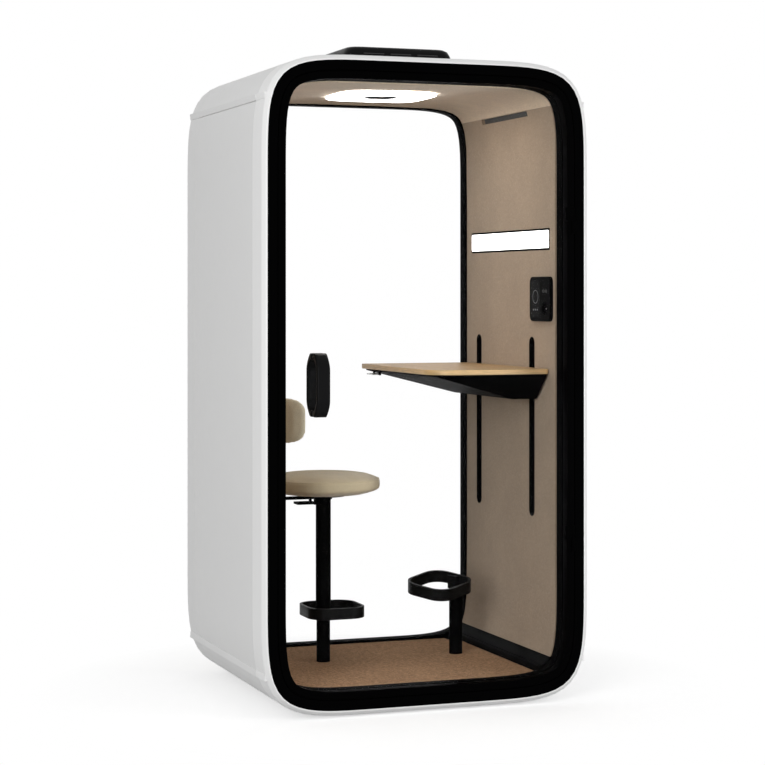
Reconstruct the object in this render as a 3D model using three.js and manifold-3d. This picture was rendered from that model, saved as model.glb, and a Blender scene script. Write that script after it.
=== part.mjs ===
// Single-person acoustic office pod: a soft-cornered shell with a glass door, a fixed rear glass, a felt-lined cabin,
// a sliding shelf desk, a swivel stool on a gas lift, a footrest loop and a roof fan.
// Millimetres, +Z up, +X towards the desk wall, -Y towards the door. The origin is on the floor, under the middle of
// the pod's outer box.
import * as THREE from 'three';
import { mergeVertices } from 'three/addons/utils/BufferGeometryUtils.js';
import { ConvexGeometry } from 'three/addons/geometries/ConvexGeometry.js';
import Module from 'manifold-3d';

const wasm = await Module();
wasm.setup();

// Driving dimensions: outer body
const WIDTH = 1180;
const DEPTH = 990;
const HEIGHT = 2205;
const CORNER_R = 464;
const CORNER_POWER = 5;
const CORNER_STEPS = 9;
const CLEAR = 0.3;

// Wall build-up, measured inwards from the outer skin
const SHELL_T = 6;
const WALL_T = 84;
const LINING_T = 12;
const LIP_PROUD = 5;
const SEAM_H = 20;
const SEAM_TOP_DROP = 134;
const SEAM_BOTTOM_RISE = 132;
const LINING_TOP_DROP = 141;
const SKIRT_TOP = 138;
const SKIRT_TOE = 13;
const SKIRT_LAP = 4;
const FLOOR_Z = 76;
const CARPET_T = 5;
const CARPET_MARGIN = 54;

// Front and rear frames
const BEZEL_T = 18;
const BEZEL_DEPTH = 117;
const FRAME_W = 34;
const DOOR_GAP = 3;
const DOOR_RIM = 26;
const DOOR_T = 40;
const SEAL_T = 4;
const SEAL_W = 12;
const SEAL_GAP = 0.8;
const REVEAL = 92;
const GLASS_T = 8;
const GLASS_SET = 16;
const GLASS_BITE = 14;
const REAR_REVEAL = 76;
const REAR_RIM = 12;
const REAR_SET = 20;
const REAR_GLASS_SET = 42;

// Hinges and handles
const HINGE_EDGE = 5;
const HINGE_R = 6;
const HINGE_PIN_R = 2.6;
const HINGE_H = 90;
const HINGE_LEAF_W = 30;
const HINGE_LEAF_T = 2.7;
const HINGE_LOW_Z = 560;
const HINGE_HIGH_Z = 1660;
const HANDLE_W = 46;
const HANDLE_H = 212;
const HANDLE_FLAT = 96;
const HANDLE_OUT = 58;
const HANDLE_BAR = 16;
const HANDLE_Z = 1103;
const HANDLE_FROM_EDGE = 199;

// Lights, panel and fan
const LIGHT_SIZE = 355;
const LIGHT_CORNER = 60;
const LIGHT_T = 12;
const LIGHT_GAP = 0.8;
const VENT_R = 65;
const VENT_T = 10;
const VENT_BAR = 12;
const VENT_RIM = 12;
const SEAM_VENT_L = 421;
const SEAM_VENT_H = 20;
const SEAM_VENT_Y = 15;
const DUCT_R = 58;
const DUCT_T = 4;
const FAN_HUB_R = 17;
const FAN_SHAFT_R = 4;
const FAN_BLADES = 5;
const FAN_BLADE_CHORD = 24;
const FAN_BLADE_T = 2;
const FAN_PITCH = 0.6;
const FAN_TIP_GAP = 2.5;
const HOOD_W = 416;
const HOOD_D = 440;
const HOOD_H = 66;
const HOOD_SLOPE = 16;
const HOOD_T = 4;
const HOOD_WINDOW_W = 74;
const HOOD_WINDOW_H = 26;
const WALL_LIGHT_L = 724;
const WALL_LIGHT_H = 77;
const WALL_LIGHT_Y = 9;
const WALL_LIGHT_Z = 1600;
const WALL_LIGHT_RIM = 5;
const WALL_LIGHT_PROUD = 2;
const PANEL_W = 175;
const PANEL_H = 158;
const PANEL_CORNER = 22;
const PANEL_T = 14;
const PANEL_Y = -298;
const PANEL_Z = 1388;
const SCREEN_W = 78;
const SCREEN_H = 130;
const SCREEN_T = 2;
const SCREEN_Y = 36;
const SOCKET_R = 26;
const SOCKET_WALL = 3;
const SOCKET_Y = -44;
const SOCKET_Z = -34;

// Desk and its rails
const DESK_W = 442;
const DESK_L = 765;
const DESK_T = 18;
const DESK_Z = 1142;
const DESK_Y = 24;
const DESK_CORNER = 96;
const DESK_FAR_CORNER = 24;
const DESK_WALL_CORNER = 14;
const DESK_WALL_GAP = 3;
const BRACKET_H = 92;
const BRACKET_LIP = 6;
const BRACKET_INSET = 12;
const BRACKET_FOOT = 90;
const BRACKET_SPLAY = 90;
const RAIL_Y = [-199, 295];
const SLOT_W = 46;
const SLOT_LOW = 609;
const SLOT_HIGH = 1252;
const RAIL_W = 64;
const RAIL_DEPTH = 38;
const RAIL_WALL = 4;
const RAIL_END = 10;
const CARRIAGE_T = 8;
const CARRIAGE_H = 70;
const CARRIAGE_ARM = 30;
const CARRIAGE_OVER = 40;
const DESK_LEVER_L = 30;
const DESK_LEVER_W = 60;
const DESK_LEVER_T = 5;
const DESK_LEVER_Y = 300;
const DESK_LEVER_DROP = 18;

// Stool
const SEAT_X = -188;
const SEAT_Y = 88;
const SEAT_TOP = 762;
const SEAT_R = 207;
const SEAT_SIDE = 54;
const SEAT_CROWN = 20;
const PLATE_R = 80;
const PLATE_T = 10;
const HUB_R = 32;
const HUB_H = 11;
const POST_R = 24.5;
const POST_BORE = 15;
const POST_TOP = 500;
const SOCKET_DEPTH = 38;
const SLEEVE_WALL = 2.4;
const SLEEVE_BOTTOM = 245;
const SLEEVE_CAP = 8;
const CYLINDER_TOP = 520;
const CYLINDER_FLOOR = 280;
const ROD_R = 6;
const ROD_BOTTOM = 400;
const RING_BAND = 40;
const RING_T = 9;
const RING_W = 211;
const RING_L = 220;
const RING_CORNER = 68;
const RING_OFFSET = 32.5;
const RING_WEB = 28;
const RING_COLLAR = 6;
const BACK_R = 212;
const BACK_T = 35;
const BACK_HALF_ANGLE = 0.94;
const BACK_LOW = 880;
const BACK_HIGH = 1039;
const ARM_W = 50;
const ARM_T = 8;
const SEAT_LEVER_L = 64;
const SEAT_LEVER_W = 52;
const SEAT_LEVER_T = 8;
const SEAT_LEVER_DROP = 23;
const LEVER_PIN_R = 2.5;
const EAR_T = 5;

// Footrest
const FOOTREST_X = 325;
const FOOTREST_Y = 85;
const FOOTREST_TOP = 374;
const FOOTREST_BAND = 43;
const FOOTREST_W = 200;
const FOOTREST_L = 200;
const FOOTREST_CORNER = 62;
const FOOTREST_T = 9;
const FOOTREST_POST_TOP = 322;
const FOOTREST_TILT = 0.18;
const FOOTREST_TILT_TURN = 0.345;
const FOOTREST_YAW = 0.52;
const BLOCK_T = 6;

// Levelling feet
const FOOT_SHOW = 6;
const FOOT_R = 25;
const FOOT_STEM_R = 6;
const FOOT_STEM_TOP = 60;
const FOOT_FROM_SIDE = 290;
const FOOT_FROM_END = 195;

// Places worked out from the driving dimensions
const frontY = -DEPTH / 2;
const rearY = DEPTH / 2;
const bodyFront = frontY + BEZEL_DEPTH + CLEAR;
const bodyRear = rearY - BEZEL_DEPTH - CLEAR;
const liningOut = WALL_T - LINING_T;
const cabinFront = frontY + REVEAL + CLEAR;
const cabinRear = rearY - REAR_REVEAL - CLEAR;
const wallX = WIDTH / 2 - WALL_T;
const coreX = WIDTH / 2 - liningOut + CLEAR;
const ceilingZ = HEIGHT - WALL_T;
const seamTop = [HEIGHT - SEAM_TOP_DROP - SEAM_H, HEIGHT - SEAM_TOP_DROP];
const seamBottom = [SEAM_BOTTOM_RISE, SEAM_BOTTOM_RISE + SEAM_H];
const liningTop = HEIGHT - LINING_TOP_DROP;
const carpetHalf = wallX - CARPET_MARGIN;
const frameIn = BEZEL_T + FRAME_W;
const doorOut = frameIn + DOOR_GAP;
const doorIn = doorOut + DOOR_RIM;
const stopY = frontY + DOOR_T + SEAL_GAP + SEAL_T + CLEAR;
const doorGlassY = frontY + GLASS_SET;
const rearGlassY = rearY - REAR_GLASS_SET - GLASS_T;
const hingeX = WIDTH / 2 - doorOut - HINGE_EDGE;
const deskUnder = DESK_Z - DESK_T;
const deskWallX = wallX - DESK_WALL_GAP;
const deskFreeX = wallX - DESK_W;
const cushionLow = SEAT_TOP - SEAT_SIDE - SEAT_CROWN;
const plateLow = cushionLow - CLEAR - PLATE_T;
const sleeveTop = plateLow - HUB_H - CLEAR;
const carpetTop = FLOOR_Z + CLEAR + CARPET_T;
const FAR = 4000;

// Surface finishes by colour, roughness and metalness
const finish = (color, roughness, metalness = 0) =>
  new THREE.MeshStandardMaterial({ color, roughness, metalness });
const white = () => finish(0xe9e9e7, 0.45);
const black = () => finish(0x111111, 0.5);
const blackSteel = () => finish(0x161616, 0.45, 0.4);
const felt = () => finish(0x92806f, 0.95);
const foam = () => finish(0x55524e, 1);
const fabric = () => finish(0x9b8c70, 0.95);
const glow = () => finish(0xffffff, 0.6);
const steel = () => finish(0xb5b5b5, 0.3, 0.9);

const pod = new THREE.Group();

// Closed geometry to a solid that can be joined and cut
function solid(geometry) {
  const bare = geometry.index ? geometry.clone() : geometry;
  bare.deleteAttribute('normal');
  bare.deleteAttribute('uv');
  const merged = mergeVertices(bare, 1e-4);
  const mesh = new wasm.Mesh({
    numProp: 3,
    vertProperties: new Float32Array(merged.attributes.position.array),
    triVerts: new Uint32Array(merged.index.array),
  });
  return new wasm.Manifold(mesh);
}

// Add one named piece to the pod
function piece(name, body, material, parent = pod) {
  const mesh = body.getMesh();
  const geometry = new THREE.BufferGeometry();
  geometry.setAttribute('position', new THREE.BufferAttribute(new Float32Array(mesh.vertProperties), 3));
  geometry.setIndex(new THREE.BufferAttribute(new Uint32Array(mesh.triVerts), 1));
  geometry.computeVertexNormals();
  const node = new THREE.Mesh(geometry, material);
  node.name = name;
  parent.add(node);
  return node;
}

const join = (...bodies) => bodies.reduce((whole, body) => whole.add(body));
const cut = (body, ...tools) => tools.reduce((left, tool) => left.subtract(tool), body);

// Axis-aligned block between two limits on each axis
function block([x0, x1], [y0, y1], [z0, z1]) {
  const box = new THREE.BoxGeometry(x1 - x0, y1 - y0, z1 - z0);
  box.translate((x0 + x1) / 2, (y0 + y1) / 2, (z0 + z1) / 2);
  return solid(box);
}

const heights = (z0, z1) => block([-FAR, FAR], [-FAR, FAR], [z0, z1]);
const rightOf = (x) => block([x, FAR], [-FAR, FAR], [-FAR, FAR]);
const leftOf = (x) => block([-FAR, x], [-FAR, FAR], [-FAR, FAR]);

// Round bar along Z
function bar(x, y, r, z0, z1, sides = 24) {
  const cylinder = new THREE.CylinderGeometry(r, r, z1 - z0, sides);
  cylinder.rotateX(Math.PI / 2);
  cylinder.translate(x, y, (z0 + z1) / 2);
  return solid(cylinder);
}

// Round bar along Y
function crossBar(x, z, r, y0, y1, sides = 16) {
  const cylinder = new THREE.CylinderGeometry(r, r, y1 - y0, sides);
  cylinder.translate(x, (y0 + y1) / 2, z);
  return solid(cylinder);
}

// Turned body about a vertical axis, from [radius, height] points that start and end on the axis
function turned(x, y, points, sides = 24) {
  const lathe = new THREE.LatheGeometry(points.map(([r, z]) => new THREE.Vector2(r, z)), sides);
  lathe.rotateX(Math.PI / 2);
  lathe.translate(x, y, 0);
  return solid(lathe);
}

// Prisms: a flat shape drawn in (x, z), (y, z) or (x, y) and drawn out along the third axis
function prismY(shape, y0, y1, steps = 12) {
  const body = new THREE.ExtrudeGeometry(shape, { depth: y1 - y0, bevelEnabled: false, curveSegments: steps });
  body.rotateX(Math.PI / 2);
  body.translate(0, y1, 0);
  return solid(body);
}

function prismX(shape, x0, x1, steps = 5) {
  const body = new THREE.ExtrudeGeometry(shape, { depth: x1 - x0, bevelEnabled: false, curveSegments: steps });
  const turn = new THREE.Matrix4().set(0, 0, 1, x0, 1, 0, 0, 0, 0, 1, 0, 0, 0, 0, 0, 1);
  body.applyMatrix4(turn);
  return solid(body);
}

function prismZ(shape, z0, z1, steps = 5) {
  const body = new THREE.ExtrudeGeometry(shape, { depth: z1 - z0, bevelEnabled: false, curveSegments: steps });
  body.translate(0, 0, z0);
  return solid(body);
}

// Rectangle with rounded corners; the corner radii run from the low corner round to the left
function roundRect(cx, cy, w, h, radii) {
  const [r0, r1, r2, r3] = Array.isArray(radii) ? radii : [radii, radii, radii, radii];
  const [x0, x1, y0, y1] = [cx - w / 2, cx + w / 2, cy - h / 2, cy + h / 2];
  const quarter = Math.PI / 2;
  const shape = new THREE.Shape();
  shape.moveTo(x0 + r0, y0);
  shape.lineTo(x1 - r1, y0);
  shape.absarc(x1 - r1, y0 + r1, r1, -quarter, 0);
  shape.lineTo(x1, y1 - r2);
  shape.absarc(x1 - r2, y1 - r2, r2, 0, quarter);
  shape.lineTo(x0 + r3, y1);
  shape.absarc(x0 + r3, y1 - r3, r3, quarter, 2 * quarter);
  shape.lineTo(x0, y0 + r0);
  shape.absarc(x0 + r0, y0 + r0, r0, 2 * quarter, 3 * quarter);
  return shape;
}

// Flat loop: an outer rounded rectangle with a parallel hole
function loopShape(cx, cy, w, h, r, wall) {
  const shape = roundRect(cx, cy, w, h, r);
  shape.holes.push(roundRect(cx, cy, w - 2 * wall, h - 2 * wall, r - wall));
  return shape;
}

// The pod's soft-cornered outline in (x, z), drawn parallel to the outer skin at an inset
function outline(inset) {
  const quarter = [];
  for (let i = 0; i <= CORNER_STEPS; i += 1) {
    const t = (i / CORNER_STEPS) * (Math.PI / 2);
    const c = i === CORNER_STEPS ? 0 : Math.cos(t);
    const s = Math.sin(t);
    const nx = c ** (2 - 2 / CORNER_POWER);
    const nz = s ** (2 - 2 / CORNER_POWER);
    const length = Math.hypot(nx, nz);
    const x = WIDTH / 2 - CORNER_R + CORNER_R * c ** (2 / CORNER_POWER) - (inset * nx) / length;
    const z = HEIGHT / 2 - CORNER_R + CORNER_R * s ** (2 / CORNER_POWER) - (inset * nz) / length;
    quarter.push([x, z]);
  }
  const back = [...quarter].reverse();
  const points = [
    ...quarter,
    ...back.map(([x, z]) => [-x, z]),
    ...quarter.map(([x, z]) => [-x, -z]),
    ...back.map(([x, z]) => [x, -z]),
  ];
  return points.map(([x, z]) => new THREE.Vector2(x, z + HEIGHT / 2));
}

const plate = (inset, y0, y1) => prismY(new THREE.Shape(outline(inset)), y0, y1);

function ring(outer, inner, y0, y1) {
  const shape = new THREE.Shape(outline(outer));
  shape.holes.push(new THREE.Path(outline(inner)));
  return prismY(shape, y0, y1);
}

// Raised strips along the two seams, on a ring of the given thickness
function seamLips(thickness, y0, y1) {
  const band = ring(-LIP_PROUD, thickness, y0, y1);
  return join(band.intersect(heights(...seamTop)), band.intersect(heights(...seamBottom)));
}

// Pad with a crowned face, a soft rim and round ends; place maps (across, up, out) in -1..1 to a point
function pad(place, around = 36, rings = 5) {
  const points = [];
  const faces = [];
  const rim = (i) => {
    const a = (i / around) * Math.PI * 2;
    const power = 2 / 4.5;
    const across = Math.sign(Math.cos(a)) * Math.abs(Math.cos(a)) ** power;
    const up = Math.sign(Math.sin(a)) * Math.abs(Math.sin(a)) ** power;
    return [across, up];
  };
  const layer = (side) => {
    const start = points.length;
    points.push(place(0, 0, side));
    for (let k = 1; k < rings; k += 1) {
      const reach = Math.sin((k / rings) * (Math.PI / 2));
      const out = side * Math.sqrt(1 - reach ** 4);
      for (let i = 0; i < around; i += 1) {
        const [across, up] = rim(i);
        points.push(place(across * reach, up * reach, out));
      }
    }
    return start;
  };
  const front = layer(1);
  const rear = layer(-1);
  const edge = points.length;
  for (let i = 0; i < around; i += 1) {
    const [across, up] = rim(i);
    points.push(place(across, up, 0));
  }
  const at = (start, k, i) => (k === rings ? edge : start + 1 + (k - 1) * around) + (i % around);
  const skin = (start, flip) => {
    const face = (a, b, c) => faces.push(flip ? [a, c, b] : [a, b, c]);
    for (let i = 0; i < around; i += 1) {
      face(start, at(start, 1, i), at(start, 1, i + 1));
      for (let k = 1; k < rings; k += 1) {
        face(at(start, k, i), at(start, k + 1, i), at(start, k + 1, i + 1));
        face(at(start, k, i), at(start, k + 1, i + 1), at(start, k, i + 1));
      }
    }
  };
  skin(front, false);
  skin(rear, true);
  const geometry = new THREE.BufferGeometry();
  geometry.setAttribute('position', new THREE.BufferAttribute(new Float32Array(points.flat()), 3));
  geometry.setIndex(faces.flat());
  return solid(geometry);
}

// Shell: painted skins, bezels, cores and floor
function buildShell() {
  const bezel = (y0, y1) => join(ring(0, BEZEL_T, y0, y1), seamLips(BEZEL_T, y0, y1));
  piece('front_bezel', bezel(frontY, frontY + BEZEL_DEPTH), white());
  piece('rear_bezel', bezel(rearY - BEZEL_DEPTH, rearY), white());

  const skin = join(ring(0, SHELL_T, bodyFront, bodyRear), seamLips(SHELL_T, bodyFront, bodyRear));
  const duct = bar(0, 0, DUCT_R, HEIGHT - WALL_T, HEIGHT + HOOD_H);
  piece('roof_shell', cut(skin.intersect(heights(seamTop[0], HEIGHT + HOOD_H)), duct), white());
  const stems = feetPlaces().map(([x, y]) => bar(x, y, FOOT_STEM_R + CLEAR, -FAR, FOOT_STEM_TOP + CLEAR));
  piece('base_shell', cut(skin.intersect(heights(-FAR, seamBottom[1])), ...stems), white());
  const sides = skin.intersect(heights(seamBottom[1] + CLEAR, seamTop[0] - CLEAR));
  piece('left_side_panel', sides.intersect(leftOf(0)), white());
  piece('right_side_panel', sides.intersect(rightOf(0)), white());

  const core = ring(SHELL_T + CLEAR, liningOut - CLEAR, bodyFront, bodyRear);
  const toeX = carpetHalf + 2 * CLEAR + SKIRT_TOE;
  const wallCore = core.intersect(heights(FLOOR_Z + CLEAR, seamTop[0]));
  piece('left_core', wallCore.intersect(leftOf(-toeX)), foam());
  const pockets = RAIL_Y.map((y) => railBox(y, CLEAR));
  piece('right_core', cut(wallCore.intersect(rightOf(toeX)), ...pockets), foam());
  const housing = bar(0, 0, DUCT_R + DUCT_T + CLEAR, 0, FAR);
  piece('roof_core', cut(core.intersect(heights(seamTop[0] + CLEAR, FAR)), housing), foam());

  const posts = postPlaces().map(([x, y]) => bar(x, y, POST_R + CLEAR, SOCKET_DEPTH, FAR));
  const deck = plate(SHELL_T + CLEAR, bodyFront, bodyRear).intersect(heights(-FAR, FLOOR_Z));
  piece('floor_deck', cut(deck, ...stems, ...posts), finish(0xa5875f, 0.8));
  feetPlaces().forEach(([x, y], i) => {
    const foot = join(
      bar(x, y, FOOT_R, -FOOT_SHOW, -CLEAR),
      bar(x, y, FOOT_STEM_R, -FOOT_SHOW / 2, FOOT_STEM_TOP, 16),
    );
    piece(`levelling_foot_${i + 1}`, foot, black());
  });
}

function feetPlaces() {
  const x = WIDTH / 2 - FOOT_FROM_SIDE;
  const y = DEPTH / 2 - FOOT_FROM_END;
  return [[-x, -y], [x, -y], [-x, y], [x, y]];
}

const postPlaces = () => [[SEAT_X, SEAT_Y], [FOOTREST_X, FOOTREST_Y]];

// Front and rear frames, the fixed glass and the door seal
function buildFrames() {
  const jamb = ring(BEZEL_T + CLEAR, frameIn, frontY, frontY + BEZEL_DEPTH);
  const stop = ring(frameIn - 1, doorIn, stopY, frontY + REVEAL);
  const heel = ring(frameIn - 1, liningOut - CLEAR, frontY + REVEAL - 1, frontY + BEZEL_DEPTH);
  piece('front_frame', join(jamb, stop, heel), black());
  const sealOut = doorOut + DOOR_GAP;
  const seal = ring(sealOut, sealOut + SEAL_W, stopY - CLEAR - SEAL_T, stopY - CLEAR);
  piece('door_seal', seal, finish(0x0a0a0a, 0.9));

  const rearJamb = ring(BEZEL_T + CLEAR, liningOut - CLEAR, rearY - BEZEL_DEPTH, rearY);
  const rearRim = ring(liningOut - 1, WALL_T + REAR_RIM, rearY - REAR_REVEAL, rearY - REAR_SET);
  const glassEdge = WALL_T + REAR_RIM - GLASS_BITE;
  const groove = plate(glassEdge - CLEAR, rearGlassY - CLEAR, rearGlassY + GLASS_T + CLEAR);
  piece('rear_frame', cut(join(rearJamb, rearRim), groove), black());
  piece('rear_glass', plate(glassEdge, rearGlassY, rearGlassY + GLASS_T), finish(0xdfe8e6, 0.05));
}

// Door leaf, its glass, both pulls and the lift-off hinges
function buildDoor() {
  const hinges = [HINGE_LOW_Z, HINGE_HIGH_Z];
  const glassEdge = doorIn - GLASS_BITE;
  const groove = plate(glassEdge - CLEAR, doorGlassY - CLEAR, doorGlassY + GLASS_T + CLEAR);
  const notch = (z) =>
    bar(hingeX, frontY, HINGE_R + 2 * CLEAR, z - HINGE_H / 2 - 1, z + HINGE_H / 2 + 1, 16);
  const leaf = ring(doorOut, doorIn, frontY, frontY + DOOR_T);
  piece('door_frame', cut(leaf, groove, ...hinges.map(notch)), black());
  piece('door_glass', plate(glassEdge, doorGlassY, doorGlassY + GLASS_T), finish(0xdfe8e6, 0.05));

  const handleX = -WIDTH / 2 + HANDLE_FROM_EDGE;
  const sides = [handleX - HANDLE_W / 2, handleX + HANDLE_W / 2];
  piece('outer_handle', prismX(pullShape(doorGlassY - CLEAR, -1), ...sides), black());
  piece('inner_handle', prismX(pullShape(doorGlassY + GLASS_T + CLEAR, 1), ...sides), black());

  hinges.forEach((z, i) => {
    const place = i === 0 ? 'lower' : 'upper';
    const low = z - HINGE_H / 2;
    const high = z + HINGE_H / 2;
    const leafY = [frontY - CLEAR - HINGE_LEAF_T, frontY - CLEAR];
    const fixed = join(
      bar(hingeX, frontY, HINGE_R, low, z, 16),
      bar(hingeX, frontY, HINGE_PIN_R, low, high - 2, 12),
      block([hingeX, hingeX + HINGE_LEAF_W], leafY, [low, z]),
    );
    piece(`${place}_hinge_leaf`, fixed, blackSteel());
    const moving = join(
      bar(hingeX, frontY, HINGE_R, z + CLEAR, high, 16),
      block([hingeX - HINGE_LEAF_W, hingeX], leafY, [z + CLEAR, high]),
    );
    const bore = bar(hingeX, frontY, HINGE_PIN_R + CLEAR, low, high - 2 + CLEAR, 12);
    piece(`${place}_hinge_knuckle`, cut(moving, bore), blackSteel());
  });
}

// Side view of a bow pull in (y, z), standing out from the glass face at y0
function pullShape(y0, out) {
  const foot = HANDLE_H / 2;
  const flat = HANDLE_FLAT / 2;
  const arch = (shape, half, reach, top) => {
    shape.moveTo(y0, HANDLE_Z - half);
    shape.lineTo(y0 + out * reach * 0.35, HANDLE_Z - half);
    shape.quadraticCurveTo(y0 + out * reach, HANDLE_Z - half * 0.72, y0 + out * reach, HANDLE_Z - top);
    shape.lineTo(y0 + out * reach, HANDLE_Z + top);
    shape.quadraticCurveTo(
      y0 + out * reach, HANDLE_Z + half * 0.72, y0 + out * reach * 0.35, HANDLE_Z + half,
    );
    shape.lineTo(y0, HANDLE_Z + half);
  };
  const body = new THREE.Shape();
  arch(body, foot, HANDLE_OUT, flat);
  const points = body.getPoints(8);
  const gap = new THREE.Shape();
  arch(gap, foot - HANDLE_BAR - 6, HANDLE_OUT - HANDLE_BAR, flat - 6);
  const inner = gap.getPoints(8);
  return new THREE.Shape([...points, ...inner.reverse()]);
}

// Felt linings, skirtings and carpet
function buildCabin() {
  const lining = ring(liningOut, WALL_T, cabinFront, cabinRear);
  const walls = lining.intersect(heights(SKIRT_TOP + CLEAR, liningTop - CLEAR));
  piece('left_lining', walls.intersect(leftOf(0)), felt());
  const depth = [wallX - 1, coreX + 1];
  const slots = RAIL_Y.map((y) => {
    const shape = roundRect(y, (SLOT_LOW + SLOT_HIGH) / 2, SLOT_W, SLOT_HIGH - SLOT_LOW, SLOT_W / 2 - 0.01);
    return prismX(shape, ...depth);
  });
  const light = roundRect(WALL_LIGHT_Y, WALL_LIGHT_Z, WALL_LIGHT_L + 2 * CLEAR, WALL_LIGHT_H + 2 * CLEAR, 2);
  const airSlot = block(
    [0, WIDTH / 2],
    [SEAM_VENT_Y - SEAM_VENT_L / 2, SEAM_VENT_Y + SEAM_VENT_L / 2],
    [liningTop - SEAM_VENT_H, FAR],
  );
  const right = cut(walls.intersect(rightOf(0)), ...slots, prismX(light, ...depth), airSlot);
  piece('right_lining', right, felt());
  const airHole = bar(0, 0, DUCT_R, 0, FAR);
  piece('ceiling_lining', cut(lining.intersect(heights(liningTop, FAR)), airHole), felt());

  const toe = [carpetHalf + CLEAR, carpetHalf + CLEAR + SKIRT_TOE];
  const cabin = plate(WALL_T - SKIRT_LAP, frontY, rearY);
  const run = [cabinFront, cabinRear];
  const low = [FLOOR_Z + CLEAR, SKIRT_TOP];
  const cove = lining.intersect(heights(...low));
  const toeRun = [bodyFront, bodyRear];
  const rightToe = cut(block(toe, toeRun, low), cabin);
  piece('right_skirting', join(cove.intersect(rightOf(toe[0] + SKIRT_LAP)), rightToe), black());
  const leftToe = cut(block([-toe[1], -toe[0]], toeRun, low), cabin);
  piece('left_skirting', join(cove.intersect(leftOf(-toe[0] - SKIRT_LAP)), leftToe), black());

  const posts = postPlaces().map(([x, y]) => bar(x, y, POST_R + CLEAR, 0, FAR));
  const carpetAcross = [-carpetHalf, carpetHalf];
  const carpetUp = [FLOOR_Z + CLEAR, carpetTop];
  const carpetEnds = block(carpetAcross, run, carpetUp).intersect(plate(liningOut, frontY, rearY));
  const carpet = join(block(carpetAcross, toeRun, carpetUp), carpetEnds);
  piece('carpet', cut(carpet, ...posts), finish(0x9c7a5f, 1));
}

// Ceiling light, vent, fan and roof hood
function buildAir() {
  const lightShape = roundRect(0, 0, LIGHT_SIZE, LIGHT_SIZE, LIGHT_CORNER);
  const centre = bar(0, 0, VENT_R + CLEAR, 0, FAR);
  const diffuser = prismZ(lightShape, ceilingZ - LIGHT_GAP - LIGHT_T, ceilingZ - LIGHT_GAP);
  piece('ceiling_light_diffuser', cut(diffuser, centre), glow());

  const ventZ = [ceilingZ - CLEAR - VENT_T, ceilingZ - CLEAR];
  const moon = bar(0, 0, VENT_R - VENT_RIM, ventZ[0] - 1, ventZ[1] + 1);
  const spine = block([-VENT_BAR / 2, VENT_BAR / 2], [-VENT_R, VENT_R], [ventZ[0] - 2, ventZ[1] + 2]);
  piece('ceiling_vent', cut(bar(0, 0, VENT_R, ...ventZ), cut(moon, spine)), black());

  const ductZ = [HEIGHT - liningOut + CLEAR, HEIGHT - SHELL_T - CLEAR];
  const motorZ = [ductZ[0] + 4, ductZ[0] + 12];
  const tube = cut(bar(0, 0, DUCT_R + DUCT_T, ...ductZ), bar(0, 0, DUCT_R, 0, FAR));
  const spokes = [0, 1, 2].map((k) => {
    const spoke = new THREE.BoxGeometry(DUCT_R + 1, 6, 6);
    spoke.translate((DUCT_R + 1) / 2, 0, (motorZ[0] + motorZ[1]) / 2);
    spoke.rotateZ((k * 2 * Math.PI) / 3);
    return solid(spoke);
  });
  const motor = bar(0, 0, FAN_HUB_R, ...motorZ);
  const shaft = bar(0, 0, FAN_SHAFT_R, motorZ[0], ductZ[1] - 10, 12);
  piece('fan_housing', join(tube, motor, shaft, ...spokes), black());

  const hubZ = [motorZ[1] + CLEAR, ductZ[1] - 12];
  const hub = cut(bar(0, 0, FAN_HUB_R, ...hubZ), bar(0, 0, FAN_SHAFT_R + CLEAR, 0, FAR, 12));
  const bladeL = DUCT_R - FAN_TIP_GAP - FAN_HUB_R + 2;
  const blades = Array.from({ length: FAN_BLADES }, (_, k) => {
    const blade = new THREE.BoxGeometry(bladeL, FAN_BLADE_CHORD, FAN_BLADE_T);
    blade.rotateX(FAN_PITCH);
    blade.translate(FAN_HUB_R - 2 + bladeL / 2, 0, (hubZ[0] + hubZ[1]) / 2);
    blade.rotateZ((k * 2 * Math.PI) / FAN_BLADES);
    return solid(blade);
  });
  piece('fan_impeller', join(hub, ...blades), finish(0x1c1c1c, 0.6));

  const outer = frustum(HOOD_W, HOOD_D, HOOD_SLOPE, HEIGHT + CLEAR, HEIGHT + HOOD_H);
  const inner = frustum(HOOD_W - 2 * HOOD_T, HOOD_D - 2 * HOOD_T, HOOD_SLOPE, HEIGHT, HEIGHT + HOOD_H - HOOD_T);
  const windowZ = [HEIGHT + HOOD_H / 2 - HOOD_WINDOW_H / 2, HEIGHT + HOOD_H / 2 + HOOD_WINDOW_H / 2];
  const windows = [-1, 0, 1].flatMap((k) => {
    const middle = k * (HOOD_WINDOW_W + 34);
    const span = [middle - HOOD_WINDOW_W / 2, middle + HOOD_WINDOW_W / 2];
    return [block(span, [-FAR, FAR], windowZ), block([-FAR, FAR], span, windowZ)];
  });
  piece('roof_vent_hood', cut(outer, inner, ...windows), black());
}

// Block whose four sides lean in towards its top
function frustum(w, d, lean, z0, z1) {
  const corners = [];
  for (const sx of [-1, 1]) {
    for (const sy of [-1, 1]) {
      corners.push(new THREE.Vector3((sx * w) / 2, (sy * d) / 2, z0));
      corners.push(new THREE.Vector3(sx * (w / 2 - lean), sy * (d / 2 - lean), z1));
    }
  }
  return solid(new ConvexGeometry(corners));
}

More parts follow.
